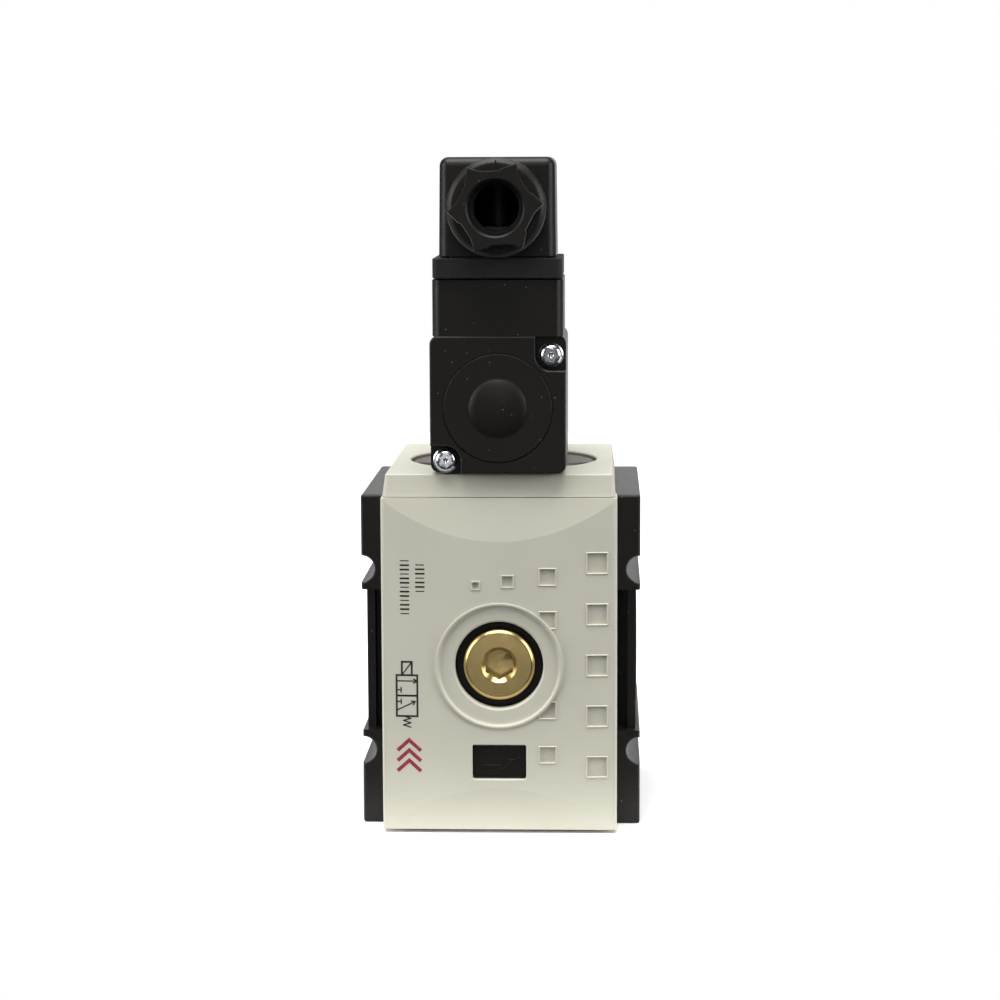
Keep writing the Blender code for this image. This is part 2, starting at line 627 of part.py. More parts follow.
# ================================================================ valve works
def make_seat_sleeve():
    """Cage with the inlet and exhaust seats, pressed into the main bore."""
    bottom = BORE_FLOOR + GAP
    guide = STEM_RADIUS + RUNNING
    profile = [
        (SLEEVE_RADIUS, SLEEVE_TOP), (SLEEVE_RADIUS, bottom), (SLEEVE_BORE, bottom),
        (SLEEVE_BORE, EXHAUST_SEAT - SEAT_LIP), (SEAT_RADIUS, EXHAUST_SEAT - SEAT_LIP),
        (SEAT_RADIUS, EXHAUST_SEAT), (SLEEVE_BORE, EXHAUST_SEAT),
        (SLEEVE_BORE, INLET_SEAT), (SEAT_RADIUS, INLET_SEAT),
        (SEAT_RADIUS, INLET_SEAT + SEAT_LIP), (SLEEVE_BORE, INLET_SEAT + SEAT_LIP),
        (SLEEVE_BORE, SLEEVE_TOP - SEAT_LIP), (guide, SLEEVE_TOP - SEAT_LIP), (guide, SLEEVE_TOP),
    ]
    sleeve = turned("seat_sleeve", (0.0, 0.0, 0.0), profile, "Z", ZINC)
    reach = BORE_RADIUS + PROUD
    cut(sleeve,
        block("inlet_window", (-reach, -WINDOW_WIDTH / 2, INLET_SEAT + 1.5 * SEAT_LIP),
              (-SLEEVE_BORE + PROUD, WINDOW_WIDTH / 2, SLEEVE_TOP - 1.5 * SEAT_LIP)),
        block("outlet_window", (SLEEVE_BORE - PROUD, -WINDOW_WIDTH / 2, EXHAUST_SEAT + SEAT_LIP),
              (reach, WINDOW_WIDTH / 2, INLET_SEAT - SEAT_LIP)),
        rod("gauge_window", (0.0, 0.0, GAUGE_Z), GAUGE_PASSAGE_RADIUS,
            -reach, -SLEEVE_BORE + PROUD, "Y", segments=SMALL_SEGMENTS))


def make_shuttle():
    """The stem with its piston, two poppets and nut: the pieces that travel together."""
    axis = (0.0, 0.0, 0.0)
    stem_top = PISTON_TOP + NUT_HEIGHT + STEM_END
    rod("valve_stem", axis, STEM_RADIUS, STEM_BOTTOM, stem_top, "Z", STEEL, SMALL_SEGMENTS)
    hole = STEM_RADIUS + GAP
    poppets = {
        "inlet_poppet": INLET_SEAT - GAP - POPPET_HEIGHT,
        "exhaust_poppet": EXHAUST_SEAT + GAP + STROKE,
    }
    for name, bottom in poppets.items():
        ring(name, axis, hole, POPPET_RADIUS, bottom, bottom + POPPET_HEIGHT, "Z", RUBBER)
    radius = BORE_RADIUS - RUNNING
    groove = PISTON_GROOVE
    floor = radius - PISTON_GROOVE_DEPTH
    middle = (PISTON_TOP + PISTON_BOTTOM) / 2
    profile = [
        (radius, PISTON_TOP), (radius, middle + groove), (floor, middle + groove),
        (floor, middle - groove), (radius, middle - groove), (radius, PISTON_BOTTOM),
        (hole, PISTON_BOTTOM), (hole, PISTON_TOP),
    ]
    turned("piston", axis, profile, "Z", DARK)
    section = PISTON_SEAL_SECTION
    seal_ring("piston_seal", axis, floor + GAP + section, section, middle, "Z", RUBBER)
    nut = outline("stem_nut", hexagon(NUT_RADIUS * math.sqrt(3)), PISTON_TOP + GAP,
                  PISTON_TOP + GAP + NUT_HEIGHT, STEEL)
    cut(nut, rod("stem_nut_hole", axis, hole, PISTON_TOP - PROUD,
                 stem_top + PROUD, "Z", segments=SMALL_SEGMENTS))


def make_return_side():
    """Lower guide in the exhaust and the spring that lifts the stem."""
    axis = (0.0, 0.0, 0.0)
    bottom = EXHAUST_INSERT_HEIGHT + GAP
    top = bottom + GUIDE_HEIGHT
    guide = ring("lower_guide", axis, STEM_RADIUS + RUNNING, INSERT_RADIUS, bottom, top, "Z", BRASS)
    vents = 6
    for number in range(vents):
        angle = 2 * math.pi * number / vents
        place_at = (VENT_CIRCLE * math.cos(angle), VENT_CIRCLE * math.sin(angle), 0.0)
        cut(guide, rod(f"guide_vent_{number}", place_at, VENT_RADIUS, bottom - PROUD,
                       top + PROUD, "Z", segments=8))
    coil_spring("return_spring", axis, SPRING_RADIUS, SPRING_WIRE, top + GAP,
                EXHAUST_SEAT + STROKE, SPRING_TURNS, "Z", SPRING)


# ================================================================ front cover, top cap
def cover_outline():
    """Plan of the cover: straight back and sides, bulged front."""
    steps = 12
    front = []
    for step in range(steps + 1):
        x = COVER_X * (2 * step / steps - 1)
        front.append((x, COVER_FRONT - COVER_BULGE * (1 - (x / COVER_X) ** 2)))
    return front + [(COVER_X, BODY_FRONT - GAP), (-COVER_X, BODY_FRONT - GAP)]


def make_front_cover():
    """Bulged shell whose front is planed flat towards its top and bottom edges."""
    cover = outline("front_cover", cover_outline(), COVER_BOTTOM, COVER_TOP, GREY)
    slope = math.atan2(COVER_BULGE, FACET_HEIGHT)
    reach = FACET_REACH
    for name, edge, turn in (("top_plane", COVER_TOP, -slope), ("low_plane", COVER_BOTTOM, slope)):
        plane = block(name, (-COVER_X - PROUD, -reach, -reach), (COVER_X + PROUD, 0.0, reach))
        plane.data.transform(Matrix.Translation((0.0, -reach / 2, 0.0)))
        plane.location = (0.0, COVER_FRONT + FACET_SKIM, edge)
        plane.rotation_euler = (turn, 0.0, 0.0)
        cut(cover, plane)
    cut(cover, block("cover_inside",
                     (-COVER_X + COVER_WALL, COVER_FRONT + COVER_WALL, COVER_BOTTOM + COVER_WALL),
                     (COVER_X - COVER_WALL, BODY_FRONT + PROUD, COVER_TOP - COVER_WALL)))
    for number, (x, z) in enumerate(COVER_POSTS):
        join(cover, rod(f"cover_post_{number}", (x, 0.0, z), POST_RADIUS,
                        COVER_FRONT + COVER_WALL / 2, BODY_FRONT + POST_DEPTH, "Y",
                        segments=SMALL_SEGMENTS))
    gauge = (0.0, 0.0, GAUGE_Z)
    crown = COVER_FRONT - COVER_BULGE
    outer = RING_RADIUS + RING_SECTION
    inner = RING_RADIUS - RING_SECTION
    floor = crown + DISH_DEPTH
    back = COVER_FRONT + COVER_WALL - RING_OVERLAP
    dish = [(outer, back), (outer, crown - FACET_SKIM), (RING_RADIUS, crown - BEAD_RISE),
            (inner, floor), (GAUGE_HOLE_RADIUS, floor), (GAUGE_HOLE_RADIUS, back)]
    cut(cover, rod("dish_seat", gauge, RING_RADIUS, crown - PROUD, BODY_FRONT, "Y",
                   segments=WIDE_SEGMENTS))
    join(cover, turned("ring_and_dish", gauge, dish, "Y", segments=WIDE_SEGMENTS))
    pad_x, pad_z = (size / 2 for size in WINDOW_SIZE)
    cut(cover, block("window", (-pad_x, crown - PROUD, WINDOW_Z - pad_z),
                     (pad_x, BODY_FRONT - PROUD, WINDOW_Z + pad_z)))
    for number, (x, z, size) in enumerate(square_places()):
        face = COVER_FRONT - COVER_BULGE * (1 - (x / COVER_X) ** 2)
        cut(cover, block(f"square_{number}", (x - size / 2, face - PROUD, z - size / 2),
                         (x + size / 2, face + SQUARE_DEPTH, z + size / 2)))


def square_places():
    """Centres and sizes of the moulded squares: two columns, then two that grow smaller."""
    large_x = COVER_X - COLUMN_MARGIN
    medium_x = large_x - COLUMN_PITCH
    places = [(large_x, GAUGE_Z + row * ROW_PITCH, LARGE_SQUARE) for row in range(-2, 3)]
    places += [(medium_x, GAUGE_Z + z, MEDIUM_SQUARE) for z in MEDIUM_HEIGHTS]
    for (x, z), size in ((SMALL_SQUARE_PLACE, SMALL_SQUARE), (TINY_SQUARE_PLACE, TINY_SQUARE)):
        places.append((medium_x - x, GAUGE_Z + z, size))
    return places


def make_flow_arrow_plate():
    """Black tab that fills the window from behind and carries the flow arrow."""
    pad_x, pad_z = (size / 2 - GAP for size in WINDOW_SIZE)
    face = COVER_FRONT - COVER_BULGE + PLATE_SETBACK
    rim_front = PLATE_REAR - PLATE_RIM_THICK
    plate = block("flow_arrow_plate", (-pad_x, face, WINDOW_Z - pad_z),
                  (pad_x, rim_front + PLATE_RIM_THICK / 2, WINDOW_Z + pad_z), BLACK)
    rim_x, rim_z = pad_x + PLATE_RIM, pad_z + PLATE_RIM
    join(plate, block("plate_rim", (-rim_x, rim_front, WINDOW_Z - rim_z),
                      (rim_x, PLATE_REAR, WINDOW_Z + rim_z)))


def make_top_cap():
    """Shallow lid over the body with the round opening for the bonnet."""
    cap = block("top_cap", (-CAP_X, CAP_FRONT, CAP_BOTTOM), (CAP_X, CAP_REAR, CAP_TOP), GREY)
    for vertex in cap.data.vertices:
        if vertex.co.z > 0:
            vertex.co.x -= math.copysign(CAP_DRAFT, vertex.co.x)
            vertex.co.y -= math.copysign(CAP_DRAFT, vertex.co.y)
    soften(cap, EDGE_ROUND / 2, 1)
    cut(cap, block("cap_inside", (-CAP_X + CAP_WALL, CAP_FRONT + CAP_WALL, CAP_BOTTOM - PROUD),
                   (CAP_X - CAP_WALL, CAP_REAR - CAP_WALL, CAP_TOP - CAP_WALL)))
    cut(cap, rod("opening", (0.0, 0.0, 0.0), OPENING_RADIUS, CAP_BOTTOM - PROUD,
                 CAP_TOP + PROUD, "Z", segments=WIDE_SEGMENTS))
    for number, (x, y) in enumerate(CAP_POSTS):
        join(cap, rod(f"cap_post_{number}", (x, y, 0.0), POST_RADIUS, BODY_HEIGHT - POST_DEPTH,
                      CAP_TOP - CAP_WALL / 2, "Z", segments=SMALL_SEGMENTS))


# ================================================================ gauge port
def make_gauge_port():
    """Brass hexagon-socket plug with its sealing washer and threaded insert."""
    gauge = (0.0, 0.0, GAUGE_Z)
    head_rear = BOSS_FACE - PLUG_LIFT
    face = head_rear - PLUG_HEAD_HEIGHT
    chamfer = PLUG_CHAMFER
    profile = [
        (0.0, face), (PLUG_HEAD_RADIUS - chamfer, face), (PLUG_HEAD_RADIUS, face + chamfer),
        (PLUG_HEAD_RADIUS, head_rear), (PLUG_THREAD_RADIUS, head_rear),
        (PLUG_THREAD_RADIUS, head_rear + PLUG_THREAD_LENGTH),
        (0.0, head_rear + PLUG_THREAD_LENGTH),
    ]
    plug = turned("gauge_port_plug", gauge, profile, "Y", BRASS)
    cut(plug, outline("hex_socket", hexagon(SOCKET_ACROSS_FLATS, math.pi / 2), face - PROUD,
                      face + SOCKET_DEPTH, None, gauge, "Y"))
    bore = PLUG_THREAD_RADIUS + RUNNING
    ring("gauge_port_washer", gauge, bore, PLUG_HEAD_RADIUS - GAP, head_rear + GAP,
         BOSS_FACE + WASHER_SEAT - GAP, "Y", RUBBER)
    front = BOSS_FACE + WASHER_SEAT
    ring("gauge_port_insert", gauge, bore, GAUGE_INSERT_RADIUS, front,
         front + GAUGE_INSERT_LENGTH, "Y", BRASS)


# ================================================================ bonnet and pilot block
def make_bonnet():
    """Round lid over the piston; its upright plate carries the pilot block."""
    spigot = BORE_RADIUS - GAP
    bottom = BODY_HEIGHT - SPIGOT_LENGTH
    floor = spigot - BONNET_GROOVE_DEPTH
    groove_middle = BODY_HEIGHT - SPIGOT_LENGTH / 2
    groove = BONNET_GROOVE
    profile = [
        (0.0, BONNET_TOP), (BONNET_RADIUS, BONNET_TOP), (BONNET_RADIUS, BONNET_BOTTOM),
        (spigot, BONNET_BOTTOM), (spigot, groove_middle + groove), (floor, groove_middle + groove),
        (floor, groove_middle - groove), (spigot, groove_middle - groove), (spigot, bottom),
        (SPIGOT_BORE, bottom), (SPIGOT_BORE, BODY_HEIGHT - SPIGOT_ROOF), (0.0, BODY_HEIGHT - SPIGOT_ROOF),
    ]
    axis = (0.0, 0.0, 0.0)
    bonnet = turned("pilot_bonnet", axis, profile, "Z", DARK, WIDE_SEGMENTS)
    foot = RISER_FOOT_WIDTH / 2
    half = RISER_WIDTH / 2
    join(bonnet, block("riser_foot", (-foot, RISER_FRONT, BONNET_TOP - PROUD),
                       (foot, RISER_REAR, COIL_BOTTOM + PROUD)))
    riser = block("riser", (-half, RISER_FRONT, COIL_BOTTOM),
                  (half, RISER_REAR, COIL_TOP - PILOT_TOP_STEP))
    soften(riser, PILOT_ROUND, 2, "Y")
    join(bonnet, riser)
    section = BONNET_SEAL_SECTION
    seal_ring("bonnet_seal", axis, floor + GAP + section, section, groove_middle, "Z", RUBBER)
    cut_pilot_screw_holes(bonnet, "riser", RISER_FRONT - PROUD, RISER_REAR - RISER_FLOOR)
    x, y = BONNET_SCREW_PLACE
    head_seat = BONNET_TOP - BONNET_HEAD_DEPTH
    for name, side in (("left", -1), ("right", 1)):
        centre = (side * x, y, 0.0)
        cut(bonnet,
            rod(f"bonnet_screw_way_{name}", centre, SCREW_RADIUS + GAP, BODY_HEIGHT - PROUD,
                BONNET_TOP + PROUD, "Z", segments=SMALL_SEGMENTS),
            rod(f"bonnet_screw_seat_{name}", centre, BONNET_SCREW_HEAD + GAP, head_seat,
                BONNET_TOP + PROUD, "Z", segments=SMALL_SEGMENTS))
        top = BONNET_TOP - BONNET_HEAD_SINK
        profile = [
            (0.0, top), (BONNET_SCREW_HEAD, top), (BONNET_SCREW_HEAD, head_seat + GAP),
            (SCREW_RADIUS, head_seat + GAP), (SCREW_RADIUS, BONNET_TOP - BONNET_SCREW_LENGTH),
            (0.0, BONNET_TOP - BONNET_SCREW_LENGTH),
        ]
        screw = turned(f"bonnet_screw_{name}", centre, profile, "Z", STEEL, SMALL_SEGMENTS)
        cut(screw, outline(f"bonnet_screw_socket_{name}", hexagon(BONNET_SCREW_KEY), top - BONNET_KEY_DEPTH,
                           top + PROUD, None, centre))


def cut_pilot_screw_holes(item, label, start, stop):
    """The two diagonal screws pass through every layer between coil and bonnet."""
    for side in (-1, 1):
        centre = (side * PILOT_SCREW_PLACE, 0.0, COIL_Z + side * PILOT_SCREW_PLACE)
        cut(item, rod(f"{label}_screw_way_{side}", centre, SCREW_RADIUS + GAP, start, stop, "Y",
                      segments=SMALL_SEGMENTS))


def make_pilot_block():
    """Pilot valve block behind the coil, its gasket and its hand override."""
    half = RISER_WIDTH / 2
    rear = PILOT_FRONT + PILOT_BASE_DEPTH
    top = COIL_TOP - PILOT_TOP_STEP
    base = block("pilot_base", (-half, PILOT_FRONT, COIL_BOTTOM), (half, rear, top), BLACK)
    soften(base, PILOT_ROUND, 2, "Y")
    axis = (0.0, 0.0, COIL_Z)
    nozzle_face = PILOT_FRONT + NOZZLE_SETBACK
    cut(base, rod("tube_seat", axis, TUBE_SEAT_RADIUS, PILOT_FRONT - PROUD,
                  PILOT_FRONT + TUBE_SEAT_DEPTH, "Y"))
    cut(base, ring("nozzle_moat", axis, NOZZLE_SEAT_RADIUS, MOAT_RADIUS, PILOT_FRONT,
                   PILOT_FRONT + MOAT_DEPTH, "Y", segments=SMALL_SEGMENTS))
    cut(base, rod("nozzle_top", axis, NOZZLE_TOP_RADIUS, PILOT_FRONT, nozzle_face, "Y"))
    cut(base, rod("nozzle_bore", axis, NOZZLE_BORE, PILOT_FRONT, rear + PROUD, "Y",
                  segments=SMALL_SEGMENTS))
    cut_pilot_screw_holes(base, "base", PILOT_FRONT - PROUD, rear + PROUD)
    override = (0.0, (PILOT_FRONT + rear) / 2, COIL_BOTTOM + OVERRIDE_HEIGHT)
    inner = -half + OVERRIDE_LENGTH
    cut(base, rod("override_bore", override, OVERRIDE_RADIUS + RUNNING, -half - PROUD,
                  inner + RUNNING, "X", segments=SMALL_SEGMENTS))
    button = rod("manual_override", override, OVERRIDE_RADIUS, -half - OVERRIDE_PROUD, inner, "X", BRASS,
                 SMALL_SEGMENTS)
    y, z = override[1], override[2]
    slot = OVERRIDE_SLOT
    cut(button, block("override_slot", (-half - PROUD, y - slot, z - OVERRIDE_RADIUS - PROUD),
                      (-half + OVERRIDE_SLOT_DEPTH, y + slot, z + OVERRIDE_RADIUS + PROUD)))
    gasket = block("pilot_gasket", (-half + GAP, rear + GAP, COIL_BOTTOM + GAP),
                   (half - GAP, rear + GAP + GASKET_THICK, top - GAP), RUBBER)
    soften(gasket, PILOT_ROUND, 2, "Y")
    cut_pilot_screw_holes(gasket, "gasket", rear - PROUD, rear + 2 * PROUD)
    cut(gasket, rod("gasket_air_way", axis, GASKET_AIR_WAY, rear - PROUD, rear + 2 * PROUD, "Y",
                    segments=SMALL_SEGMENTS))


def make_pilot_screws():
    """Two pan-head screws at opposite corners of the coil."""
    seat = COIL_FRONT + NOTCH_DEPTH
    crown = PILOT_HEAD_CROWN
    profile = [
        (0.0, seat - GAP - PILOT_HEAD_HEIGHT),
        (PILOT_HEAD_RADIUS - crown, seat - GAP - PILOT_HEAD_HEIGHT),
        (PILOT_HEAD_RADIUS, seat - GAP - PILOT_HEAD_HEIGHT + crown),
        (PILOT_HEAD_RADIUS, seat - GAP), (SCREW_RADIUS, seat - GAP),
        (SCREW_RADIUS, RISER_REAR - RISER_FLOOR - GAP), (0.0, RISER_REAR - RISER_FLOOR - GAP),
    ]
    for name, side in (("upper_right", 1), ("lower_left", -1)):
        centre = (side * PILOT_SCREW_PLACE, 0.0, COIL_Z + side * PILOT_SCREW_PLACE)
        screw = turned(f"pilot_screw_{name}", centre, profile, "Y", STEEL, SMALL_SEGMENTS)
        cut(screw, outline(f"pilot_screw_socket_{name}", hexagon(PILOT_SCREW_KEY),
                           COIL_FRONT - PROUD, seat - PILOT_KEY_FLOOR, None, centre, "Y"))


# ================================================================ coil
def make_coil_casing():
    """Moulded coil body with the connector neck on top; open at the rear."""
    half = COIL_WIDTH / 2
    casing = block("coil_casing", (-half, COIL_FRONT, COIL_BOTTOM), (half, COIL_REAR, COIL_TOP),
                   BLACK)
    soften(casing, COIL_ROUND)
    neck_front = COIL_FRONT + NECK_SETBACK
    neck_half = NECK_WIDTH / 2
    neck = block("neck", (-neck_half, neck_front, COIL_TOP - NECK_OVERLAP),
                 (neck_half, neck_front + NECK_DEPTH, NECK_TOP))
    soften(neck, NECK_ROUND, 3, "Z")
    join(casing, neck)
    axis = (0.0, 0.0, COIL_Z)
    recess = END_CAP_DEPTH
    cut(casing,
        rod("coil_cavity", axis, COIL_CAVITY_RADIUS, COIL_FRONT + COIL_FRONT_WALL,
            COIL_REAR + PROUD, "Y"),
        rod("end_cap_recess", axis, END_CAP_RADIUS + GAP, COIL_FRONT - PROUD,
            COIL_FRONT + recess, "Y", segments=WIDE_SEGMENTS),
        rod("end_cap_hole", axis, END_CAP_HOLE, COIL_FRONT, COIL_FRONT + 2 * COIL_FRONT_WALL, "Y",
            segments=SMALL_SEGMENTS))
    for side in (-1, 1):
        x, z = side * PILOT_SCREW_PLACE, COIL_Z + side * PILOT_SCREW_PLACE
        radius = PILOT_HEAD_RADIUS + 2 * GAP
        face = (COIL_FRONT - PROUD, COIL_FRONT + NOTCH_DEPTH)
        cut(casing, rod(f"screw_pocket_{side}", (x, 0.0, z), radius, *face, "Y",
                        segments=SMALL_SEGMENTS))
        far_x, far_z = side * (half + PROUD), COIL_Z + side * (COIL_HEIGHT / 2 + PROUD)
        wall = side * (radius - POCKET_FLAT)
        cut(casing, block(f"pocket_side_{side}",
                          (min(x, far_x), face[0], min(z - wall, far_z)),
                          (max(x, far_x), face[1], max(z - wall, far_z))))
        cut(casing, block(f"pocket_end_{side}",
                          (min(x - wall, far_x), face[0], min(z, far_z)),
                          (max(x - wall, far_x), face[1], max(z, far_z))))
    cut_pilot_screw_holes(casing, "casing", COIL_FRONT, COIL_REAR + PROUD)
    for name, x, y, turned_pin in contact_places():
        width, depth = (PIN_WIDTH, PIN_THICK) if turned_pin else (PIN_THICK, PIN_WIDTH)
        cut(casing, block(f"{name}_root", (x - width / 2 - GAP, y - depth / 2 - GAP,
                                           NECK_TOP - PIN_ROOT - GAP),
                          (x + width / 2 + GAP, y + depth / 2 + GAP, NECK_TOP + PROUD)))
    cut(casing, rod("connector_thread", (0.0, CONNECTOR_Y, 0.0), SCREW_SHANK + RUNNING,
                    NECK_TOP - SCREW_THREAD_DEPTH, NECK_TOP + PROUD, "Z", segments=SMALL_SEGMENTS))


def make_coil_end_cap():
    """Snap-in disc on the coil's front, with a low dome in its middle."""
    face = COIL_FRONT - END_CAP_PROUD
    rear = COIL_FRONT + END_CAP_DEPTH - GAP
    dome = []
    for step in range(4):
        share = step / 3
        dome.append((DOME_RADIUS * share, face - DOME_RISE * (1 - share ** 2)))
    stub = END_CAP_STUB
    profile = dome + [
        (END_CAP_RADIUS, face), (END_CAP_RADIUS, rear), (stub, rear),
        (stub, COIL_FRONT + COIL_FRONT_WALL), (0.0, COIL_FRONT + COIL_FRONT_WALL),
    ]
    turned("coil_end_cap", (0.0, 0.0, COIL_Z), profile, "Y", BLACK, WIDE_SEGMENTS)


def make_coil_works():
    """Magnet frame, bobbin, winding, armature tube, core and plunger, all on one axis."""
    axis = (0.0, 0.0, COIL_Z)
    front = COIL_FRONT + COIL_FRONT_WALL + GAP
    rear = COIL_REAR - GAP
    outer = COIL_CAVITY_RADIUS - GAP
    inner = outer - YOKE_WALL
    profile = [(outer, rear), (outer, front), (TUBE_RADIUS + GAP, front),
               (TUBE_RADIUS + GAP, front + YOKE_WALL), (inner, front + YOKE_WALL), (inner, rear)]
    turned("magnet_frame", axis, profile, "Y", STEEL)
    low = front + YOKE_WALL + GAP
    high = rear
    bore = TUBE_RADIUS + GAP
    barrel = bore + BOBBIN_WALL
    flange = inner - GAP
    profile = [(flange, high), (flange, high - BOBBIN_WALL), (barrel, high - BOBBIN_WALL),
               (barrel, low + BOBBIN_WALL), (flange, low + BOBBIN_WALL), (flange, low),
               (bore, low), (bore, high)]
    turned("coil_bobbin", axis, profile, "Y", DARK)
    ring("coil_winding", axis, barrel + GAP, flange - GAP, low + BOBBIN_WALL + GAP,
         high - BOBBIN_WALL - GAP, "Y", COPPER)
    foot = PILOT_FRONT + TUBE_FOOT
    inside = TUBE_RADIUS - TUBE_WALL
    profile = [(TUBE_RADIUS, front + GAP), (inside, front + GAP), (inside, foot), (TUBE_FOOT_RADIUS, foot),
               (TUBE_FOOT_RADIUS, PILOT_FRONT + GAP), (TUBE_RADIUS, PILOT_FRONT + GAP)]
    turned("armature_tube", axis, profile, "Y", STEEL)
    core_rear = front + GAP + CORE_LENGTH
    rod("fixed_core", axis, inside - GAP, front + GAP, core_rear, "Y", STEEL)
    plunger_front = core_rear + PLUNGER_STROKE + GAP
    plunger_rear = plunger_front + PLUNGER_LENGTH
    radius = inside - RUNNING
    pocket = PLUNGER_SPRING_RADIUS + PLUNGER_SPRING_WIRE + GAP
    floor = plunger_front + PLUNGER_POCKET
    seal = PLUNGER_SEAL_RADIUS
    seal_floor = plunger_rear - PLUNGER_SEAL_POCKET
    profile = [(pocket, plunger_front), (radius, plunger_front), (radius, plunger_rear),
               (seal + GAP, plunger_rear), (seal + GAP, seal_floor), (0.0, seal_floor)]
    turned("plunger", axis, [(0.0, floor), (pocket, floor)] + profile, "Y", STEEL)
    rod("plunger_seal", axis, seal, seal_floor + GAP, PILOT_FRONT + NOZZLE_SETBACK - GAP, "Y",
        RUBBER, SMALL_SEGMENTS)
    coil_spring("plunger_spring", axis, PLUNGER_SPRING_RADIUS, PLUNGER_SPRING_WIRE,
                core_rear + GAP, floor - GAP, 5, "Y", SPRING)


# ================================================================ plug connector
def contact_places():
    """Name, place and turn of each flat pin; the earth pin stands across the other two."""
    return [
        ("left_contact", -PIN_SPREAD, CONNECTOR_Y, False),
        ("right_contact", PIN_SPREAD, CONNECTOR_Y, False),
        ("earth_contact", 0.0, CONNECTOR_Y + EARTH_OFFSET, True),
    ]


def make_contacts():
    """Flat pins moulded in the neck, and the clamp terminals that grip them."""
    bottom = NECK_TOP - PIN_ROOT
    top = bottom + PIN_LENGTH
    carrier_bottom = GASKET_BOTTOM + 2 * GAP
    for name, x, y, turned_pin in contact_places():
        width, depth = (PIN_WIDTH, PIN_THICK) if turned_pin else (PIN_THICK, PIN_WIDTH)
        block(f"{name}_pin", (x - width / 2, y - depth / 2, bottom),
              (x + width / 2, y + depth / 2, top), BRASS)
        wide, deep = TERMINAL_SIZE[::-1] if turned_pin else TERMINAL_SIZE
        terminal = block(f"{name}_terminal", (x - wide / 2, y - deep / 2, carrier_bottom + TERMINAL_FOOT),
                         (x + wide / 2, y + deep / 2, top + TERMINAL_HEAD), BRASS)
        cut(terminal, block(f"{name}_grip", (x - width / 2 - GAP, y - depth / 2 - GAP,
                                             carrier_bottom - PROUD),
                            (x + width / 2 + GAP, y + depth / 2 + GAP, top + GAP)))


def make_connector():
    """Hooded plug: profiled gasket, contact carrier, housing with the gland nozzle, screw."""
    reach = GASKET_WIDTH / 2
    gasket = block("connector_gasket", (-reach, CONNECTOR_Y - reach, GASKET_BOTTOM),
                   (reach, CONNECTOR_Y + reach, GASKET_BOTTOM + GASKET_HEIGHT), RUBBER)
    soften(gasket, EDGE_ROUND, 2, "Z")
    half = CARRIER_WIDTH / 2
    opening = half + GAP
    cut(gasket, block("gasket_opening", (-opening, CONNECTOR_Y - opening, GASKET_BOTTOM - PROUD),
                      (opening, CONNECTOR_Y + opening, HOUSING_BOTTOM + PROUD)))
    bottom = GASKET_BOTTOM + 2 * GAP
    top = bottom + CARRIER_HEIGHT
    carrier = block("contact_carrier", (-half, CONNECTOR_Y - half, bottom),
                    (half, CONNECTOR_Y + half, top), DARK)
    for name, x, y, turned_pin in contact_places():
        wide, deep = TERMINAL_SIZE[::-1] if turned_pin else TERMINAL_SIZE
        cut(carrier, block(f"{name}_pocket", (x - wide / 2 - GAP, y - deep / 2 - GAP, bottom - PROUD),
                           (x + wide / 2 + GAP, y + deep / 2 + GAP, top + PROUD)))
    screw_way = rod("carrier_screw_way", (0.0, CONNECTOR_Y, 0.0), SCREW_SHANK + RUNNING,
                    bottom - PROUD, top + PROUD, "Z", segments=SMALL_SEGMENTS)
    cut(carrier, screw_way)
    make_housing()
    shank_bottom = NECK_TOP - SCREW_ENGAGED
    head_top = HOUSING_TOP - SCREW_HEAD_SINK
    head_bottom = head_top - SCREW_HEAD_HEIGHT
    profile = [(0.0, head_top), (SCREW_HEAD_RADIUS, head_top), (SCREW_HEAD_RADIUS, head_bottom),
               (SCREW_SHANK, head_bottom), (SCREW_SHANK, shank_bottom), (0.0, shank_bottom)]
    screw = turned("connector_screw", (0.0, CONNECTOR_Y, 0.0), profile, "Z", STEEL, SMALL_SEGMENTS)
    slot = SCREW_SLOT
    cut(screw, block("connector_screw_slot", (-SCREW_HEAD_RADIUS - PROUD, CONNECTOR_Y - slot,
                                              head_top - SCREW_SLOT_DEPTH),
                     (SCREW_HEAD_RADIUS + PROUD, CONNECTOR_Y + slot, head_top + PROUD)))


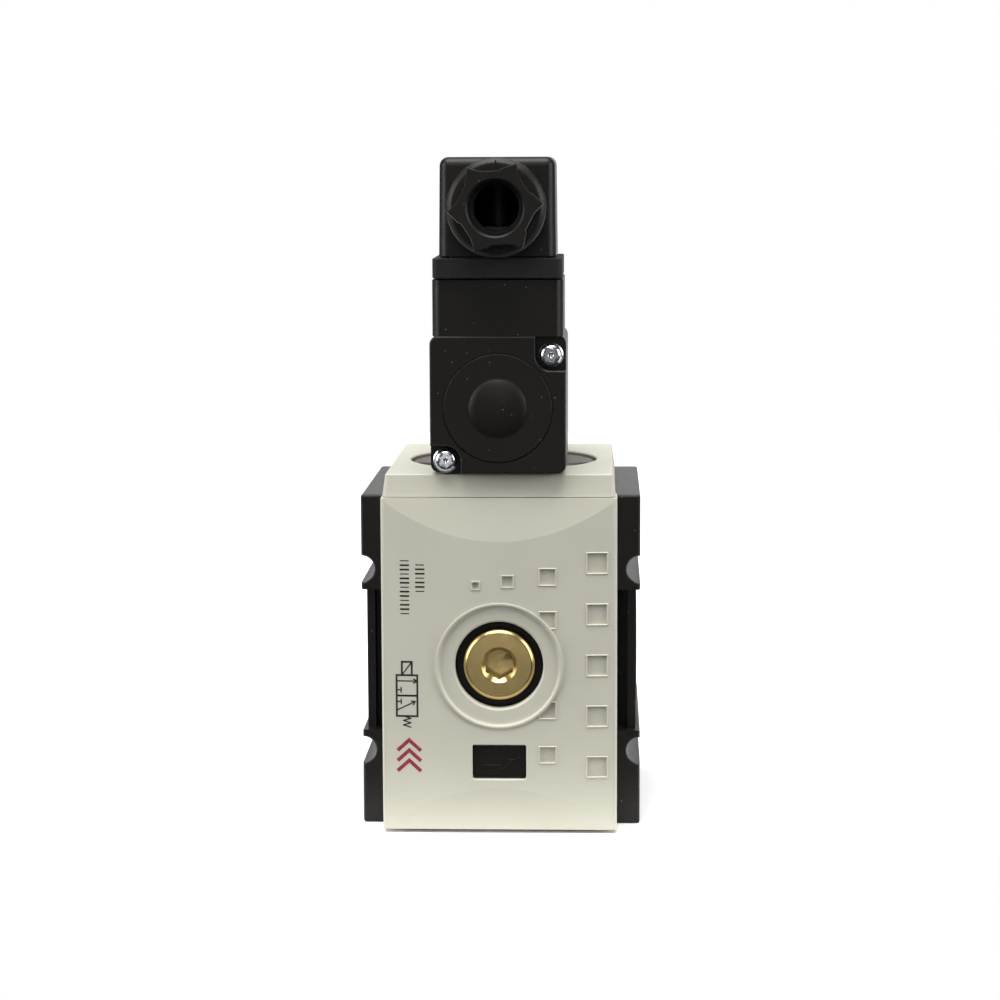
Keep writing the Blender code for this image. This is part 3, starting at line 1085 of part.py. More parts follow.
def make_housing():
    """The hood over the contacts; a nozzle on its front takes the gland."""
    half = HOUSING_WIDTH / 2
    rear = HOUSING_FRONT + HOUSING_DEPTH
    housing = block("connector_housing", (-half, HOUSING_FRONT, HOUSING_BOTTOM),
                    (half, rear, HOUSING_TOP), BLACK)
    weights = housing.data.attributes.new("bevel_weight_edge", "FLOAT", "EDGE")
    for edge in housing.data.edges:
        low = min(housing.data.vertices[v].co.z for v in edge.vertices)
        high = max(housing.data.vertices[v].co.z for v in edge.vertices)
        weights.data[edge.index].value = 1.0 if high > 0.0 > low or low > 0.0 else 0.0
    bevel = housing.modifiers.new("rounded", "BEVEL")
    bevel.width = HOUSING_ROUND
    bevel.segments = 3
    bevel.limit_method = "WEIGHT"
    gland = (0.0, 0.0, GLAND_Z)
    join(housing, rod("nozzle", gland, NOZZLE_RADIUS, HOUSING_FRONT - NOZZLE_LENGTH,
                      HOUSING_FRONT + HOUSING_WALL / 2, "Y"))
    wall = HOUSING_WALL
    cut(housing, block("hood_inside", (-half + wall, HOUSING_FRONT + wall, HOUSING_BOTTOM - PROUD),
                       (half - wall, rear - wall, HOUSING_TOP - wall)))
    cut(housing,
        rod("nozzle_bore", gland, NOZZLE_RADIUS - NOZZLE_WALL, HOUSING_FRONT - NOZZLE_LENGTH - PROUD,
            HOUSING_FRONT, "Y"),
        rod("cable_way", gland, GLAND_BORE, HOUSING_FRONT - PROUD, HOUSING_FRONT + 2 * wall, "Y"))
    pillar_top = HOUSING_TOP - wall / 2
    pillar_bottom = GASKET_BOTTOM + 2 * GAP + CARRIER_HEIGHT + GAP
    pillar = rod("screw_pillar", (0.0, CONNECTOR_Y, 0.0), SCREW_HEAD_RADIUS + PILLAR_WALL,
                 pillar_bottom, pillar_top, "Z", segments=SMALL_SEGMENTS)
    join(housing, pillar)
    seat = HOUSING_TOP - SCREW_HEAD_SINK - SCREW_HEAD_HEIGHT - RUNNING
    cut(housing,
        rod("screw_seat", (0.0, CONNECTOR_Y, 0.0), SCREW_HEAD_RADIUS + RUNNING, seat,
            HOUSING_TOP + PROUD, "Z", segments=SMALL_SEGMENTS),
        rod("screw_way", (0.0, CONNECTOR_Y, 0.0), SCREW_SHANK + RUNNING, pillar_bottom - PROUD,
            HOUSING_TOP + PROUD, "Z", segments=SMALL_SEGMENTS))


def star_outline():
    """Six points on the collar's circle, with a stepped hollow between each two."""
    points = []
    for number in range(6):
        start = math.radians(60 * number + STAR_TURN)
        for share, depth in STAR_STEPS:
            angle = start + math.radians(60) * share
            radius = GLAND_RADIUS - STAR_INSET - STAR_SCALLOP * depth
            points.append((radius * math.cos(angle), radius * math.sin(angle)))
    return points


def make_gland():
    """Hollow nut on the nozzle, with the sealing ring and washer that it presses."""
    gland = (0.0, 0.0, GLAND_Z)
    nozzle_end = HOUSING_FRONT - NOZZLE_LENGTH
    cavity_front = nozzle_end - GAP
    face = cavity_front - NUT_FRONT_WALL
    collar_front = face + STAR_LENGTH
    cavity = NOZZLE_RADIUS + RUNNING
    nut = ring("gland_nut", gland, GLAND_BORE, GLAND_RADIUS, collar_front,
               HOUSING_FRONT - 2 * GAP, "Y", BLACK, WIDE_SEGMENTS)
    star = outline("star_front", star_outline(), face, collar_front + PROUD, None, gland, "Y")
    join(nut, star)
    cut(nut,
        rod("nut_bore", gland, GLAND_BORE, face - PROUD, HOUSING_FRONT, "Y"),
        rod("nut_thread", gland, cavity, cavity_front, HOUSING_FRONT, "Y", segments=WIDE_SEGMENTS))
    outer = NOZZLE_RADIUS - NOZZLE_WALL - GAP
    washer_rear = nozzle_end + GLAND_WASHER
    ring("gland_washer", gland, GLAND_BORE, outer, nozzle_end, washer_rear, "Y", STEEL)
    ring("gland_seal", gland, GLAND_BORE - GLAND_SEAL_GRIP, outer, washer_rear + GAP,
         HOUSING_FRONT - GAP, "Y", RUBBER)


make_valve_body()
make_port_inserts()
make_seat_sleeve()
make_shuttle()
make_return_side()
make_front_cover()
make_flow_arrow_plate()
make_top_cap()
make_gauge_port()
make_bonnet()
make_pilot_block()
make_pilot_screws()
make_coil_casing()
make_coil_end_cap()
make_coil_works()
make_contacts()
make_connector()
make_gland()
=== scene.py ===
import math

import bmesh
import bpy
from mathutils import Matrix, Vector


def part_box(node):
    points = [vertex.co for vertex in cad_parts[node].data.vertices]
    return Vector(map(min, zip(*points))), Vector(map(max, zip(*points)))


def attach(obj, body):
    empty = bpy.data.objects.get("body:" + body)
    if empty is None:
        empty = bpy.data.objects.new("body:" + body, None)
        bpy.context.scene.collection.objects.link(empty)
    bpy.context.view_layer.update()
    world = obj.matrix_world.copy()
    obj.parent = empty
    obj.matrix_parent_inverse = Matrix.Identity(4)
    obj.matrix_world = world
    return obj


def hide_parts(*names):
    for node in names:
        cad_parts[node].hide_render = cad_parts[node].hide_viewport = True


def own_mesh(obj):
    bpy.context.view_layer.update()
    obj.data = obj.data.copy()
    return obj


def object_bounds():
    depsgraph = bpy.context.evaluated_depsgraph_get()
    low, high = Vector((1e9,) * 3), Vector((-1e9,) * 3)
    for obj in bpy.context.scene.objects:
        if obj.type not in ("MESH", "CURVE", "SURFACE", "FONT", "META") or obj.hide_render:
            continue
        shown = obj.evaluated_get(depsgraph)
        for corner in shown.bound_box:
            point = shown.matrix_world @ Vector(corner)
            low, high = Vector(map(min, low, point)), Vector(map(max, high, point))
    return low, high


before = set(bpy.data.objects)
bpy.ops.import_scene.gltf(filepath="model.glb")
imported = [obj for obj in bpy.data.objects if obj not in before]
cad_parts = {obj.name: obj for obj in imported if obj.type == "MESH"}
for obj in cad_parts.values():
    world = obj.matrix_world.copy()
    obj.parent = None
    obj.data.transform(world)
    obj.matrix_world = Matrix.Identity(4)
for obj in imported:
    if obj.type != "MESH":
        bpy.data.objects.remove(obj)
cad_low, cad_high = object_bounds()
mm = 0.001


# ================================================================== valve block
# The block is one glass-filled black polyamide moulding that carries all the air ways. Its side
# flanges are left thin by the mould, with a recessed pad round each port and two half-round
# notches where the clamps of the neighbouring units grip.
block_low, block_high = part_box("valve_body")
stem_low, stem_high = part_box("valve_stem")
cover_low, cover_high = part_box("front_cover")
stem_x = (stem_low.x + stem_high.x) / 2
stem_y = (stem_low.y + stem_high.y) / 2
block_middle_z = (block_low.z + block_high.z) / 2
block_width = block_high.x - block_low.x
block_edge = 0.6 * mm
touch = 0.3 * mm                     # gap between pieces that rest on each other
ring_bead_rise = 0.35 * mm
cover_bulge = 1.2 * mm
cover_depth = 9.2 * mm
cover_crown = cover_low.y + ring_bead_rise
cover_edge_y = cover_crown + cover_bulge
block_front = cover_edge_y + cover_depth + touch
cover_half = (cover_high.x - cover_low.x) / 2
side_recess = 1.0 * mm
side_recess_height = 32.0 * mm
flange_lip = 1.8 * mm
flange_step = 3.0 * mm
flange_slot = 8.0 * mm
notch_radius = 3.05 * mm
notch_pitch = 41.2 * mm
port_radius = 9.3 * mm
insert_radius = 12.3 * mm
insert_length = 10.5 * mm
face_seal_radius = 14.7 * mm
face_seal_section = 0.8 * mm
main_bore_radius = 15.0 * mm
main_bore_floor = block_low.z + 13.4 * mm
gauge_z = block_middle_z + 0.7 * mm
gauge_boss_radius = 11.6 * mm
gauge_insert_radius = 7.6 * mm
window_width, window_height = 11.9 * mm, 7.7 * mm
window_z = block_low.z + 16.4 * mm


def linear(code):
    """Turn an sRGB hex colour into the linear colour that the shaders take."""
    parts = [int(code[k:k + 2], 16) / 255 for k in (0, 2, 4)]
    return tuple(c / 12.92 if c <= 0.04045 else ((c + 0.055) / 1.055) ** 2.4 for c in parts) + (1.0,)


def add_node(tree, kind, inputs=None, **settings):
    """Add one node; inputs maps a socket's name or number to a value or to the socket that feeds it."""
    made = tree.nodes.new(kind)
    for name, value in settings.items():
        setattr(made, name, value)
    for key, value in (inputs or {}).items():
        if isinstance(value, bpy.types.NodeSocket):
            tree.links.new(value, made.inputs[key])
        else:
            made.inputs[key].default_value = value
    return made


def moulded_plastic(name, colour, shade, roughness, grain, relief, speck=None):
    """Injection-moulded plastic: spark-eroded grain, faint flow clouds and, if wanted, fibre specks."""
    made = bpy.data.materials.new(name)
    made.use_nodes = True
    tree = made.node_tree
    surface = tree.nodes["Principled BSDF"]
    place = add_node(tree, "ShaderNodeTexCoord").outputs["Object"]
    cloud = add_node(tree, "ShaderNodeTexNoise", {"Vector": place, "Scale": 1 / (14 * mm), "Detail": 3.0})
    fine = add_node(tree, "ShaderNodeTexNoise", {"Vector": place, "Scale": 1 / grain, "Detail": 2.0})
    tint = add_node(tree, "ShaderNodeMapRange", {0: cloud.outputs[0], 1: 0.3, 2: 0.7})
    base = add_node(tree, "ShaderNodeMix", {0: tint.outputs[0], 6: linear(colour), 7: linear(shade)},
                    data_type="RGBA")
    shown = base.outputs[2]
    if speck:
        cells = add_node(tree, "ShaderNodeTexVoronoi", {"Vector": place, "Scale": 1 / (1.6 * mm)})
        dot = add_node(tree, "ShaderNodeMath", {0: cells.outputs["Distance"], 1: 0.085},
                       operation="LESS_THAN")
        pick = add_node(tree, "ShaderNodeSeparateColor", {0: cells.outputs["Color"]})
        some = add_node(tree, "ShaderNodeMath", {0: pick.outputs[0], 1: 0.72}, operation="GREATER_THAN")
        both = add_node(tree, "ShaderNodeMath", {0: dot.outputs[0], 1: some.outputs[0]},
                        operation="MULTIPLY")
        shown = add_node(tree, "ShaderNodeMix", {0: both.outputs[0], 6: shown, 7: linear(speck)},
                         data_type="RGBA").outputs[2]
    gloss = add_node(tree, "ShaderNodeMapRange", {0: fine.outputs[0], 1: 0.3, 2: 0.7,
                                                  3: roughness - 0.05, 4: roughness + 0.07})
    bump = add_node(tree, "ShaderNodeBump", {"Height": fine.outputs[0], "Distance": relief,
                                             "Strength": 1.0})
    tree.links.new(shown, surface.inputs["Base Color"])
    tree.links.new(gloss.outputs[0], surface.inputs["Roughness"])
    tree.links.new(bump.outputs[0], surface.inputs["Normal"])
    surface.inputs["IOR"].default_value = 1.5
    return made


def placed(u, v, station, axis):
    """A point of an outline, or of a turned shape, on its plane across the axis."""
    return Vector({"X": (station, u, v), "Y": (u, station, v), "Z": (u, v, station)}[axis])


def grown_outline(points, growth):
    """Move a closed outline's edge outwards by growth, or inwards where it is negative."""
    area = sum(a[0] * b[1] - b[0] * a[1] for a, b in zip(points, points[1:] + points[:1]))
    side = math.copysign(growth, area * growth) if growth else 0.0
    moved = []
    for before, here, after in zip(points[-1:] + points[:-1], points, points[1:] + points[:1]):
        first = Vector(here) - Vector(before)
        second = Vector(after) - Vector(here)
        out_first = Vector((first.y, -first.x)).normalized()
        out_second = Vector((second.y, -second.x)).normalized()
        shift = (out_first + out_second) * side / (1 + out_first.dot(out_second))
        moved.append((here[0] + shift.x, here[1] + shift.y))
    return moved


def prism(outline, levels, axis, centre=(0.0, 0.0)):
    """Carry a closed outline through levels of (station, growth) and cap both ends."""
    shape = bmesh.new()
    rows = []
    for station, growth in levels:
        edge = grown_outline(outline, growth)
        rows.append([shape.verts.new(placed(u + centre[0], v + centre[1], station, axis))
                     for u, v in edge])
    for low, high in zip(rows, rows[1:]):
        for k in range(len(low)):
            shape.faces.new((low[k - 1], low[k], high[k], high[k - 1]))
    shape.faces.new(rows[0])
    shape.faces.new(rows[-1])
    bmesh.ops.recalc_face_normals(shape, faces=shape.faces)
    return shape


def rolled(start, stop, first, last, steps=4):
    """Levels between two stations, with the edge rounded by first at the start and last at the stop."""
    way = 1 if stop > start else -1
    turns = [math.pi / 2 * k / steps for k in range(steps + 1)]
    opening = [(start + way * first * (1 - math.cos(a)), -first * (1 - math.sin(a))) for a in turns]
    closing = [(stop - way * last * (1 - math.cos(a)), -last * (1 - math.sin(a))) for a in turns[::-1]]
    if not first:
        opening = [(start, 0.0)]
    if not last:
        closing = [(stop, 0.0)]
    return opening + closing


def round_rectangle(width, height, radius=0.0, steps=6):
    """The outline of a rectangle about its middle, with round corners."""
    points = []
    for side_u, side_v, turn in ((1, 1, 0), (-1, 1, 90), (-1, -1, 180), (1, -1, 270)):
        for k in range(steps + 1 if radius else 1):
            a = math.radians(turn + 90 * k / steps)
            points.append((side_u * (width / 2 - radius) + radius * math.cos(a) * bool(radius),
                           side_v * (height / 2 - radius) + radius * math.sin(a) * bool(radius)))
    return points


def disc(radius, steps=72):
    """The outline of a circle about its middle."""
    return [(radius * math.cos(2 * math.pi * k / steps), radius * math.sin(2 * math.pi * k / steps))
            for k in range(steps)]


def box_shape(low, high, radius=0.0, steps=4):
    """A block between two corners with all its edges rounded."""
    middle = ((low[0] + high[0]) / 2, (low[1] + high[1]) / 2)
    outline = round_rectangle(high[0] - low[0], high[1] - low[1], 1.15 * radius, steps)
    return prism(outline, rolled(low[2], high[2], radius, radius, steps), "Z", middle)


def eased_profile(points, ease, closed, steps=3):
    """Round each corner of a profile; a point may carry its own radius as a third number."""
    eased = []
    for k, point in enumerate(points):
        here = Vector(point[:2])
        radius = point[2] if len(point) > 2 else ease
        end = not closed and k in (0, len(points) - 1)
        if end or radius == 0.0 or here.x == 0.0:
            eased.append(here)
            continue
        before = Vector(points[k - 1][:2]) - here
        after = Vector(points[(k + 1) % len(points)][:2]) - here
        reach = min(radius, 0.45 * before.length, 0.45 * after.length)
        start = here + before.normalized() * reach
        stop = here + after.normalized() * reach
        for step in range(steps + 1):
            t = step / steps
            eased.append(start * (1 - t) ** 2 + here * (2 * t * (1 - t)) + stop * t ** 2)
    return eased


def turned(profile, axis, centre=(0.0, 0.0), ease=0.1 * mm, steps=96):
    """Spin a profile of (radius, station) points; with both ends on the axis it makes a solid."""
    solid = profile[0][0] == 0.0 and profile[-1][0] == 0.0
    points = eased_profile(profile, ease, not solid)
    shape = bmesh.new()
    rows = []
    for radius, station in points:
        if radius == 0.0:
            rows.append([shape.verts.new(placed(*centre, station, axis))])
            continue
        rows.append([shape.verts.new(placed(centre[0] + u, centre[1] + v, station, axis))
                     for u, v in disc(radius, steps)])
    pairs = list(zip(rows, rows[1:] + ([] if solid else rows[:1])))
    for low, high in pairs:
        for k in range(steps):
            corners = [low[k - 1 if len(low) > 1 else 0], low[k if len(low) > 1 else 0],
                       high[k if len(high) > 1 else 0], high[k - 1 if len(high) > 1 else 0]]
            corners = list(dict.fromkeys(corners))
            if len(corners) > 2:
                shape.faces.new(corners)
    bmesh.ops.recalc_face_normals(shape, faces=shape.faces)
    return shape


def item_from(shape, name):
    """Put a finished shape into the scene as an object at the origin."""
    mesh = bpy.data.meshes.new(name)
    shape.to_mesh(mesh)
    shape.free()
    made = bpy.data.objects.new(name, mesh)
    bpy.context.scene.collection.objects.link(made)
    return made


def settled(item):
    """Replace an object's mesh with what its modifiers make of it, and drop the modifiers."""
    bpy.context.view_layer.update()
    graph = bpy.context.evaluated_depsgraph_get()
    mesh = bpy.data.meshes.new_from_object(item.evaluated_get(graph), depsgraph=graph)
    item.modifiers.clear()
    item.data = mesh
    return item


def carve(item, *shapes, how="DIFFERENCE"):
    """Cut shapes out of an item, or weld them to it; a shape may be an object already."""
    for count, shape in enumerate(shapes):
        tool = item_from(shape, f"tool_{count}") if isinstance(shape, bmesh.types.BMesh) else shape
        change = item.modifiers.new("carve", "BOOLEAN")
        change.operation = how
        change.solver = "MANIFOLD"
        change.object = tool
    tools = [change.object for change in item.modifiers if change.type == "BOOLEAN"]
    settled(item)
    for tool in tools:
        bpy.data.objects.remove(tool)
    return item


def shade(item, sharp=32.0):
    """Smooth the curved faces and keep the flat ones flat up to their edges."""
    if sharp is not None:
        item.data.shade_smooth()
        item.data.set_sharp_from_angle(angle=math.radians(sharp))
    even = item.modifiers.new("even", "WEIGHTED_NORMAL")
    even.keep_sharp = True
    return settled(item)


def fit(item, name, finish, body, slot, *nodes, sharp=32.0):
    """Shade and name a finished piece, give it its finish and hang it on its body of the frame."""
    shade(item, sharp)
    item.name = item.data.name = name
    item.data.materials.clear()
    item.data.materials.append(finish)
    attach(item, body)
    if nodes:
        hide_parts(*nodes)
    return item


# Glass-filled black polyamide: near-black, half matt, grained by the eroded mould, with a few
# fibres that come to the surface as pale specks.
black_polyamide = moulded_plastic("black_polyamide_moulded", "110F0D", "161412", 0.4, 0.32 * mm,
                                  0.02 * mm, speck="625E58")
black_polyamide.node_tree.nodes["Principled BSDF"].inputs["Specular IOR Level"].default_value = 0.3

block = item_from(box_shape((block_low.x, block_front, block_low.z), block_high, block_edge), "block")
gauge_boss = turned([(0.0, block_low.y), (gauge_boss_radius, block_low.y),
                     (gauge_boss_radius, block_front + 1.0 * mm), (0.0, block_front + 1.0 * mm)],
                    "Y", (stem_x, gauge_z), 0.4 * mm)
plate_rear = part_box("flow_arrow_plate")[1].y
window_pad = box_shape((stem_x - window_width / 2, plate_rear + touch, window_z - window_height / 2),
                       (stem_x + window_width / 2, block_front + 1.0 * mm, window_z + window_height / 2))
carve(block, gauge_boss, window_pad, how="UNION")

beyond = 2.0 * mm                    # how far a cutter stands past the face it opens
rim = 0.25 * mm                      # width of the small chamfers round moulded openings
for side in (-1, 1):
    face_x = side * (block_width / 2 - side_recess)
    outer_x = side * block_width / 2
    depth = block_high.y - block_front + 2 * beyond
    recess = prism(round_rectangle(depth, side_recess_height),
                   [(face_x, 0.0), (outer_x - side * rim, 0.0), (outer_x, rim),
                    (outer_x + side * beyond, rim)],
                   "X", ((block_high.y + block_front) / 2, block_middle_z))
    lip_x = face_x - side * flange_lip
    step_shape = prism(round_rectangle(flange_step + beyond, side_recess_height),
                       [(lip_x, 0.0), (face_x + side * beyond, 0.0)], "X",
                       (block_front + (flange_step - beyond) / 2, block_middle_z))
    slot_shape = prism(round_rectangle(flange_slot + beyond, side_recess_height),
                       [(side * cover_half, 0.0), (lip_x + side * 0.01 * mm, 0.0)], "X",
                       (block_front + (flange_slot - beyond) / 2, block_middle_z))
    carve(block, recess, step_shape, slot_shape)
    for level in (-1, 1):
        notch = prism(disc(notch_radius, 48),
                      [(block_front - beyond, rim), (block_front, rim), (block_front + rim, 0.0),
                       (block_high.y - rim, 0.0), (block_high.y, rim), (block_high.y + beyond, rim)],
                      "Y", (outer_x, block_middle_z + level * notch_pitch / 2))
        carve(block, notch)
    port = (stem_y, block_middle_z)
    inner_x = face_x - side * (insert_length + touch)
    seat = turned([(0.0, inner_x), (insert_radius + touch, inner_x),
                   (insert_radius + touch, face_x - side * rim),
                   (insert_radius + touch + rim, face_x),
                   (insert_radius + touch + rim, face_x + side * beyond),
                   (0.0, face_x + side * beyond)], "X", port, 0.0)
    bore = turned([(0.0, side * (main_bore_radius - 1.0 * mm)),
                   (port_radius, side * (main_bore_radius - 1.0 * mm)),
                   (port_radius, face_x), (0.0, face_x)], "X", port, 0.0)
    groove = face_seal_section + touch
    groove_floor = face_x - side * 2 * face_seal_section
    seal_groove = turned([(face_seal_radius - groove, groove_floor),
                          (face_seal_radius + groove, groove_floor),
                          (face_seal_radius + groove, face_x + side * beyond),
                          (face_seal_radius - groove, face_x + side * beyond)], "X", port, 0.0)
    carve(block, seat, bore, seal_groove)

main_bore = turned([(0.0, main_bore_floor), (main_bore_radius, main_bore_floor),
                    (main_bore_radius, block_high.z - rim), (main_bore_radius + rim, block_high.z),
                    (main_bore_radius + rim, block_high.z + beyond), (0.0, block_high.z + beyond)],
                   "Z", (stem_x, stem_y), 0.0)
exhaust_seat = turned([(0.0, main_bore_floor + beyond), (insert_radius + touch, main_bore_floor + beyond),
                       (insert_radius + touch, block_low.z + rim),
                       (insert_radius + touch + rim, block_low.z),
                       (insert_radius + touch + rim, block_low.z - beyond), (0.0, block_low.z - beyond)],
                      "Z", (stem_x, stem_y), 0.0)
gauge_insert_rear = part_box("gauge_port_insert")[1].y
gauge_seat = turned([(0.0, gauge_insert_rear + touch),
                     (gauge_insert_radius + touch, gauge_insert_rear + touch),
                     (gauge_insert_radius + touch, block_low.y - beyond), (0.0, block_low.y - beyond)],
                    "Y", (stem_x, gauge_z), 0.0)
gauge_way = turned([(0.0, gauge_insert_rear - 1.0 * mm), (4.0 * mm, gauge_insert_rear - 1.0 * mm),
                    (4.0 * mm, stem_y - main_bore_radius + 2.0 * mm),
                    (0.0, stem_y - main_bore_radius + 2.0 * mm)],
                   "Y", (stem_x, gauge_z), 0.0, 48)
carve(block, main_bore, exhaust_seat, gauge_seat, gauge_way)

# Four blind holes take the posts of the cover, four more those of the cap, two the bonnet screws.
post_radius = 2.0 * mm
post_depth = 6.0 * mm
post_inset = 6.0 * mm
cap_low, cap_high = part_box("top_cap")
cap_bottom = cover_high.z + 0.1 * mm
cover_posts = [(side * (cover_half - post_inset), z) for side in (-1, 1)
               for z in (cover_low.z + post_inset, cover_high.z - post_inset)]
cap_posts = [(side * (cap_high.x - post_inset / 2), y) for side in (-1, 1)
             for y in (block_front + 2 * post_inset, cap_high.y - post_inset)]
bonnet_screw_places = [(side * 17.2 * mm, stem_y - 4.5 * mm) for side in (-1, 1)]
for x, z in cover_posts:
    hole = [(block_front - beyond, 0.0), (block_front + post_depth + touch, 0.0)]
    carve(block, prism(disc(post_radius + touch, 32), hole, "Y", (x, z)))
for x, y in cap_posts:
    hole = [(block_high.z - post_depth - touch, 0.0), (block_high.z + beyond, 0.0)]
    carve(block, prism(disc(post_radius + touch, 32), hole, "Z", (x, y)))
for x, y in bonnet_screw_places:
    hole = [(block_high.z - 8.6 * mm, 0.0), (block_high.z + beyond, 0.0)]
    carve(block, prism(disc(1.6 * mm, 24), hole, "Z", (x, y)))
fit(block, "moulded_valve_block", black_polyamide, "valve", "black_polyamide", "valve_body")


# ================================================================== front cover
# A light grey ABS shell that clips to the front of the block on four posts. Its face is bulged
# and planed off towards the top and bottom edges; the gauge ring, the dish inside it, the window
# and the rows of squares are formed in the mould.
cover_wall = 2.0 * mm
facet_height = 9.2 * mm
cover_corner = 0.9 * mm
ring_radius = 13.7 * mm
ring_half = 0.36 * mm
gauge_hole_radius = 9.75 * mm
dish_depth = 0.45 * mm
square_depth = 0.45 * mm

# Light grey ABS: warm, nearly matt, a fine eroded grain with very faint clouds in the colour.
grey_abs = moulded_plastic("light_grey_abs_moulded", "C3C1B2", "BFBDAE", 0.5, 0.3 * mm, 0.012 * mm)


def bulge_at(x):
    """How far forward the cover's face stands at a place across it."""
    return cover_edge_y - cover_bulge * (1 - (x / cover_half) ** 2)


def cover_plan():
    """Plan of the cover: straight back and sides, bulged front, small round front corners."""
    flat_half = cover_half - cover_corner
    arc = [math.radians(90 * k / 8) for k in range(9)]
    corner_y = bulge_at(flat_half) + cover_corner
    left = [(-flat_half - cover_corner * math.cos(a), corner_y - cover_corner * math.sin(a)) for a in arc]
    front = [(flat_half * k / 40, bulge_at(flat_half * k / 40)) for k in range(-39, 40)]
    right = [(-x, y) for x, y in left[::-1]]
    rear_y = block_front - touch
    return left + front + right + [(cover_half, rear_y), (-cover_half, rear_y)]


cover = item_from(prism(cover_plan(), rolled(cover_low.z, cover_high.z, 0.25 * mm, 0.25 * mm, 2), "Z"),
                  "cover")
slope = math.atan2(cover_bulge, facet_height)
for edge_z, way in ((cover_high.z, -1), (cover_low.z, 1)):
    plane = box_shape((-2 * cover_half, -20 * mm, -20 * mm), (2 * cover_half, 0.0, 20 * mm))
    tilt = Matrix.Rotation(way * slope, 4, "X")
    bmesh.ops.transform(plane, matrix=Matrix.Translation((0.0, cover_edge_y + 0.05 * mm, edge_z)) @ tilt,
                        verts=plane.verts)
    carve(cover, plane)
inside = box_shape((-cover_half + cover_wall, cover_edge_y + cover_wall, cover_low.z + cover_wall),
                   (cover_half - cover_wall, block_front + beyond, cover_high.z - cover_wall), 0.4 * mm)
carve(cover, inside)
posts = [turned([(0.0, cover_edge_y + cover_wall / 2), (post_radius, cover_edge_y + cover_wall / 2),
                 (post_radius, block_front + post_depth, 0.4 * mm), (0.0, block_front + post_depth)],
                "Y", place, 0.0, 32) for place in cover_posts]
carve(cover, *posts, how="UNION")

ring_back = cover_edge_y + cover_wall - 0.1 * mm
dish_floor = cover_crown + dish_depth
ring_and_dish = turned([(ring_radius + ring_half, ring_back),
                        (ring_radius + ring_half, cover_crown - 0.02 * mm, 0.0),
                        (ring_radius + 0.36 * mm, cover_low.y + 0.02 * mm, 0.15 * mm),
                        (ring_radius - 0.20 * mm, cover_low.y, 0.2 * mm),
                        (ring_radius - ring_half, dish_floor - 0.1 * mm, 0.3 * mm),
                        (ring_radius - 2.2 * ring_half, dish_floor, 0.4 * mm),
                        (gauge_hole_radius + 0.35 * mm, dish_floor + 0.12 * mm, 0.1 * mm),
                        (gauge_hole_radius, dish_floor + 0.4 * mm, 0.1 * mm),
                        (gauge_hole_radius, ring_back)], "Y", (stem_x, gauge_z), 0.0, 144)
dish_seat = turned([(0.0, cover_crown - beyond), (ring_radius, cover_crown - beyond),
                    (ring_radius, block_front), (0.0, block_front)], "Y", (stem_x, gauge_z), 0.0, 144)
carve(cover, dish_seat)
carve(cover, ring_and_dish, how="UNION")

window_cut = prism(round_rectangle(window_width, window_height, 0.45 * mm),
                   [(cover_crown - beyond, rim), (cover_crown, rim), (cover_crown + rim, 0.0),
                    (block_front - 1.0 * mm, 0.0)], "Y", (stem_x, window_z))
carve(cover, window_cut)

# The rows of squares grow from a tiny one beside the ring to five large ones near the edge. Each
# has a thin raised lip. One node tree sets both the pockets and the lips on the bulged face.
large_square, medium_square, small_square, tiny_square = 4.3 * mm, 3.4 * mm, 2.3 * mm, 1.4 * mm
large_x = cover_half - 4.4 * mm
medium_x = large_x - 10.9 * mm
square_places = [(large_x, row * 11.4 * mm, large_square) for row in range(-2, 3)]
square_places += [(medium_x, z, medium_square) for z in (19.8 * mm, 10.2 * mm, -10.0 * mm, -20.0 * mm)]
square_places += [(medium_x - 8.8 * mm, 18.8 * mm, small_square),
                  (medium_x - 15.8 * mm, 17.9 * mm, tiny_square)]


def node_tree(name, inputs):
    """Start a Geometry Nodes tree; inputs maps the name of each size to its kind of socket."""
    tree = bpy.data.node_groups.new(name, "GeometryNodeTree")
    tree.interface.new_socket("Geometry", in_out="INPUT", socket_type="NodeSocketGeometry")
    for label, kind in inputs.items():
        tree.interface.new_socket(label, in_out="INPUT", socket_type="NodeSocket" + kind)
    tree.interface.new_socket("Geometry", in_out="OUTPUT", socket_type="NodeSocketGeometry")
    return tree, add_node(tree, "NodeGroupInput").outputs


def end_tree(tree, geometry, finish):
    """Close a tree: real geometry with its material goes to the output."""
    real = add_node(tree, "GeometryNodeRealizeInstances", {0: geometry})
    painted = add_node(tree, "GeometryNodeSetMaterial", {"Geometry": real.outputs[0], "Material": finish})
    add_node(tree, "NodeGroupOutput", {0: painted.outputs[0]})


def run_tree(name, tree, values, start=None):
    """Run a tree on a mesh, or on nothing, and keep what it makes as a plain object."""
    made = bpy.data.objects.new(name, start or bpy.data.meshes.new(name))
    bpy.context.scene.collection.objects.link(made)
    change = made.modifiers.new("tree", "NODES")
    change.node_group = tree
    for socket in tree.interface.items_tree:
        if socket.in_out == "INPUT" and socket.name in values:
            change[socket.identifier] = values[socket.name]
    return settled(made)


def points_mesh(name, places, **attributes):
    """Loose points that a tree sets copies on, each with its own named numbers or directions."""
    mesh = bpy.data.meshes.new(name)
    mesh.from_pydata([tuple(p) for p in places], [], [])
    for label, values in attributes.items():
        vector = isinstance(values[0], (tuple, Vector))
        data = mesh.attributes.new(label, "FLOAT_VECTOR" if vector else "FLOAT", "POINT").data
        data.foreach_set("vector" if vector else "value",
                         [c for v in values for c in v] if vector else list(values))
    return mesh


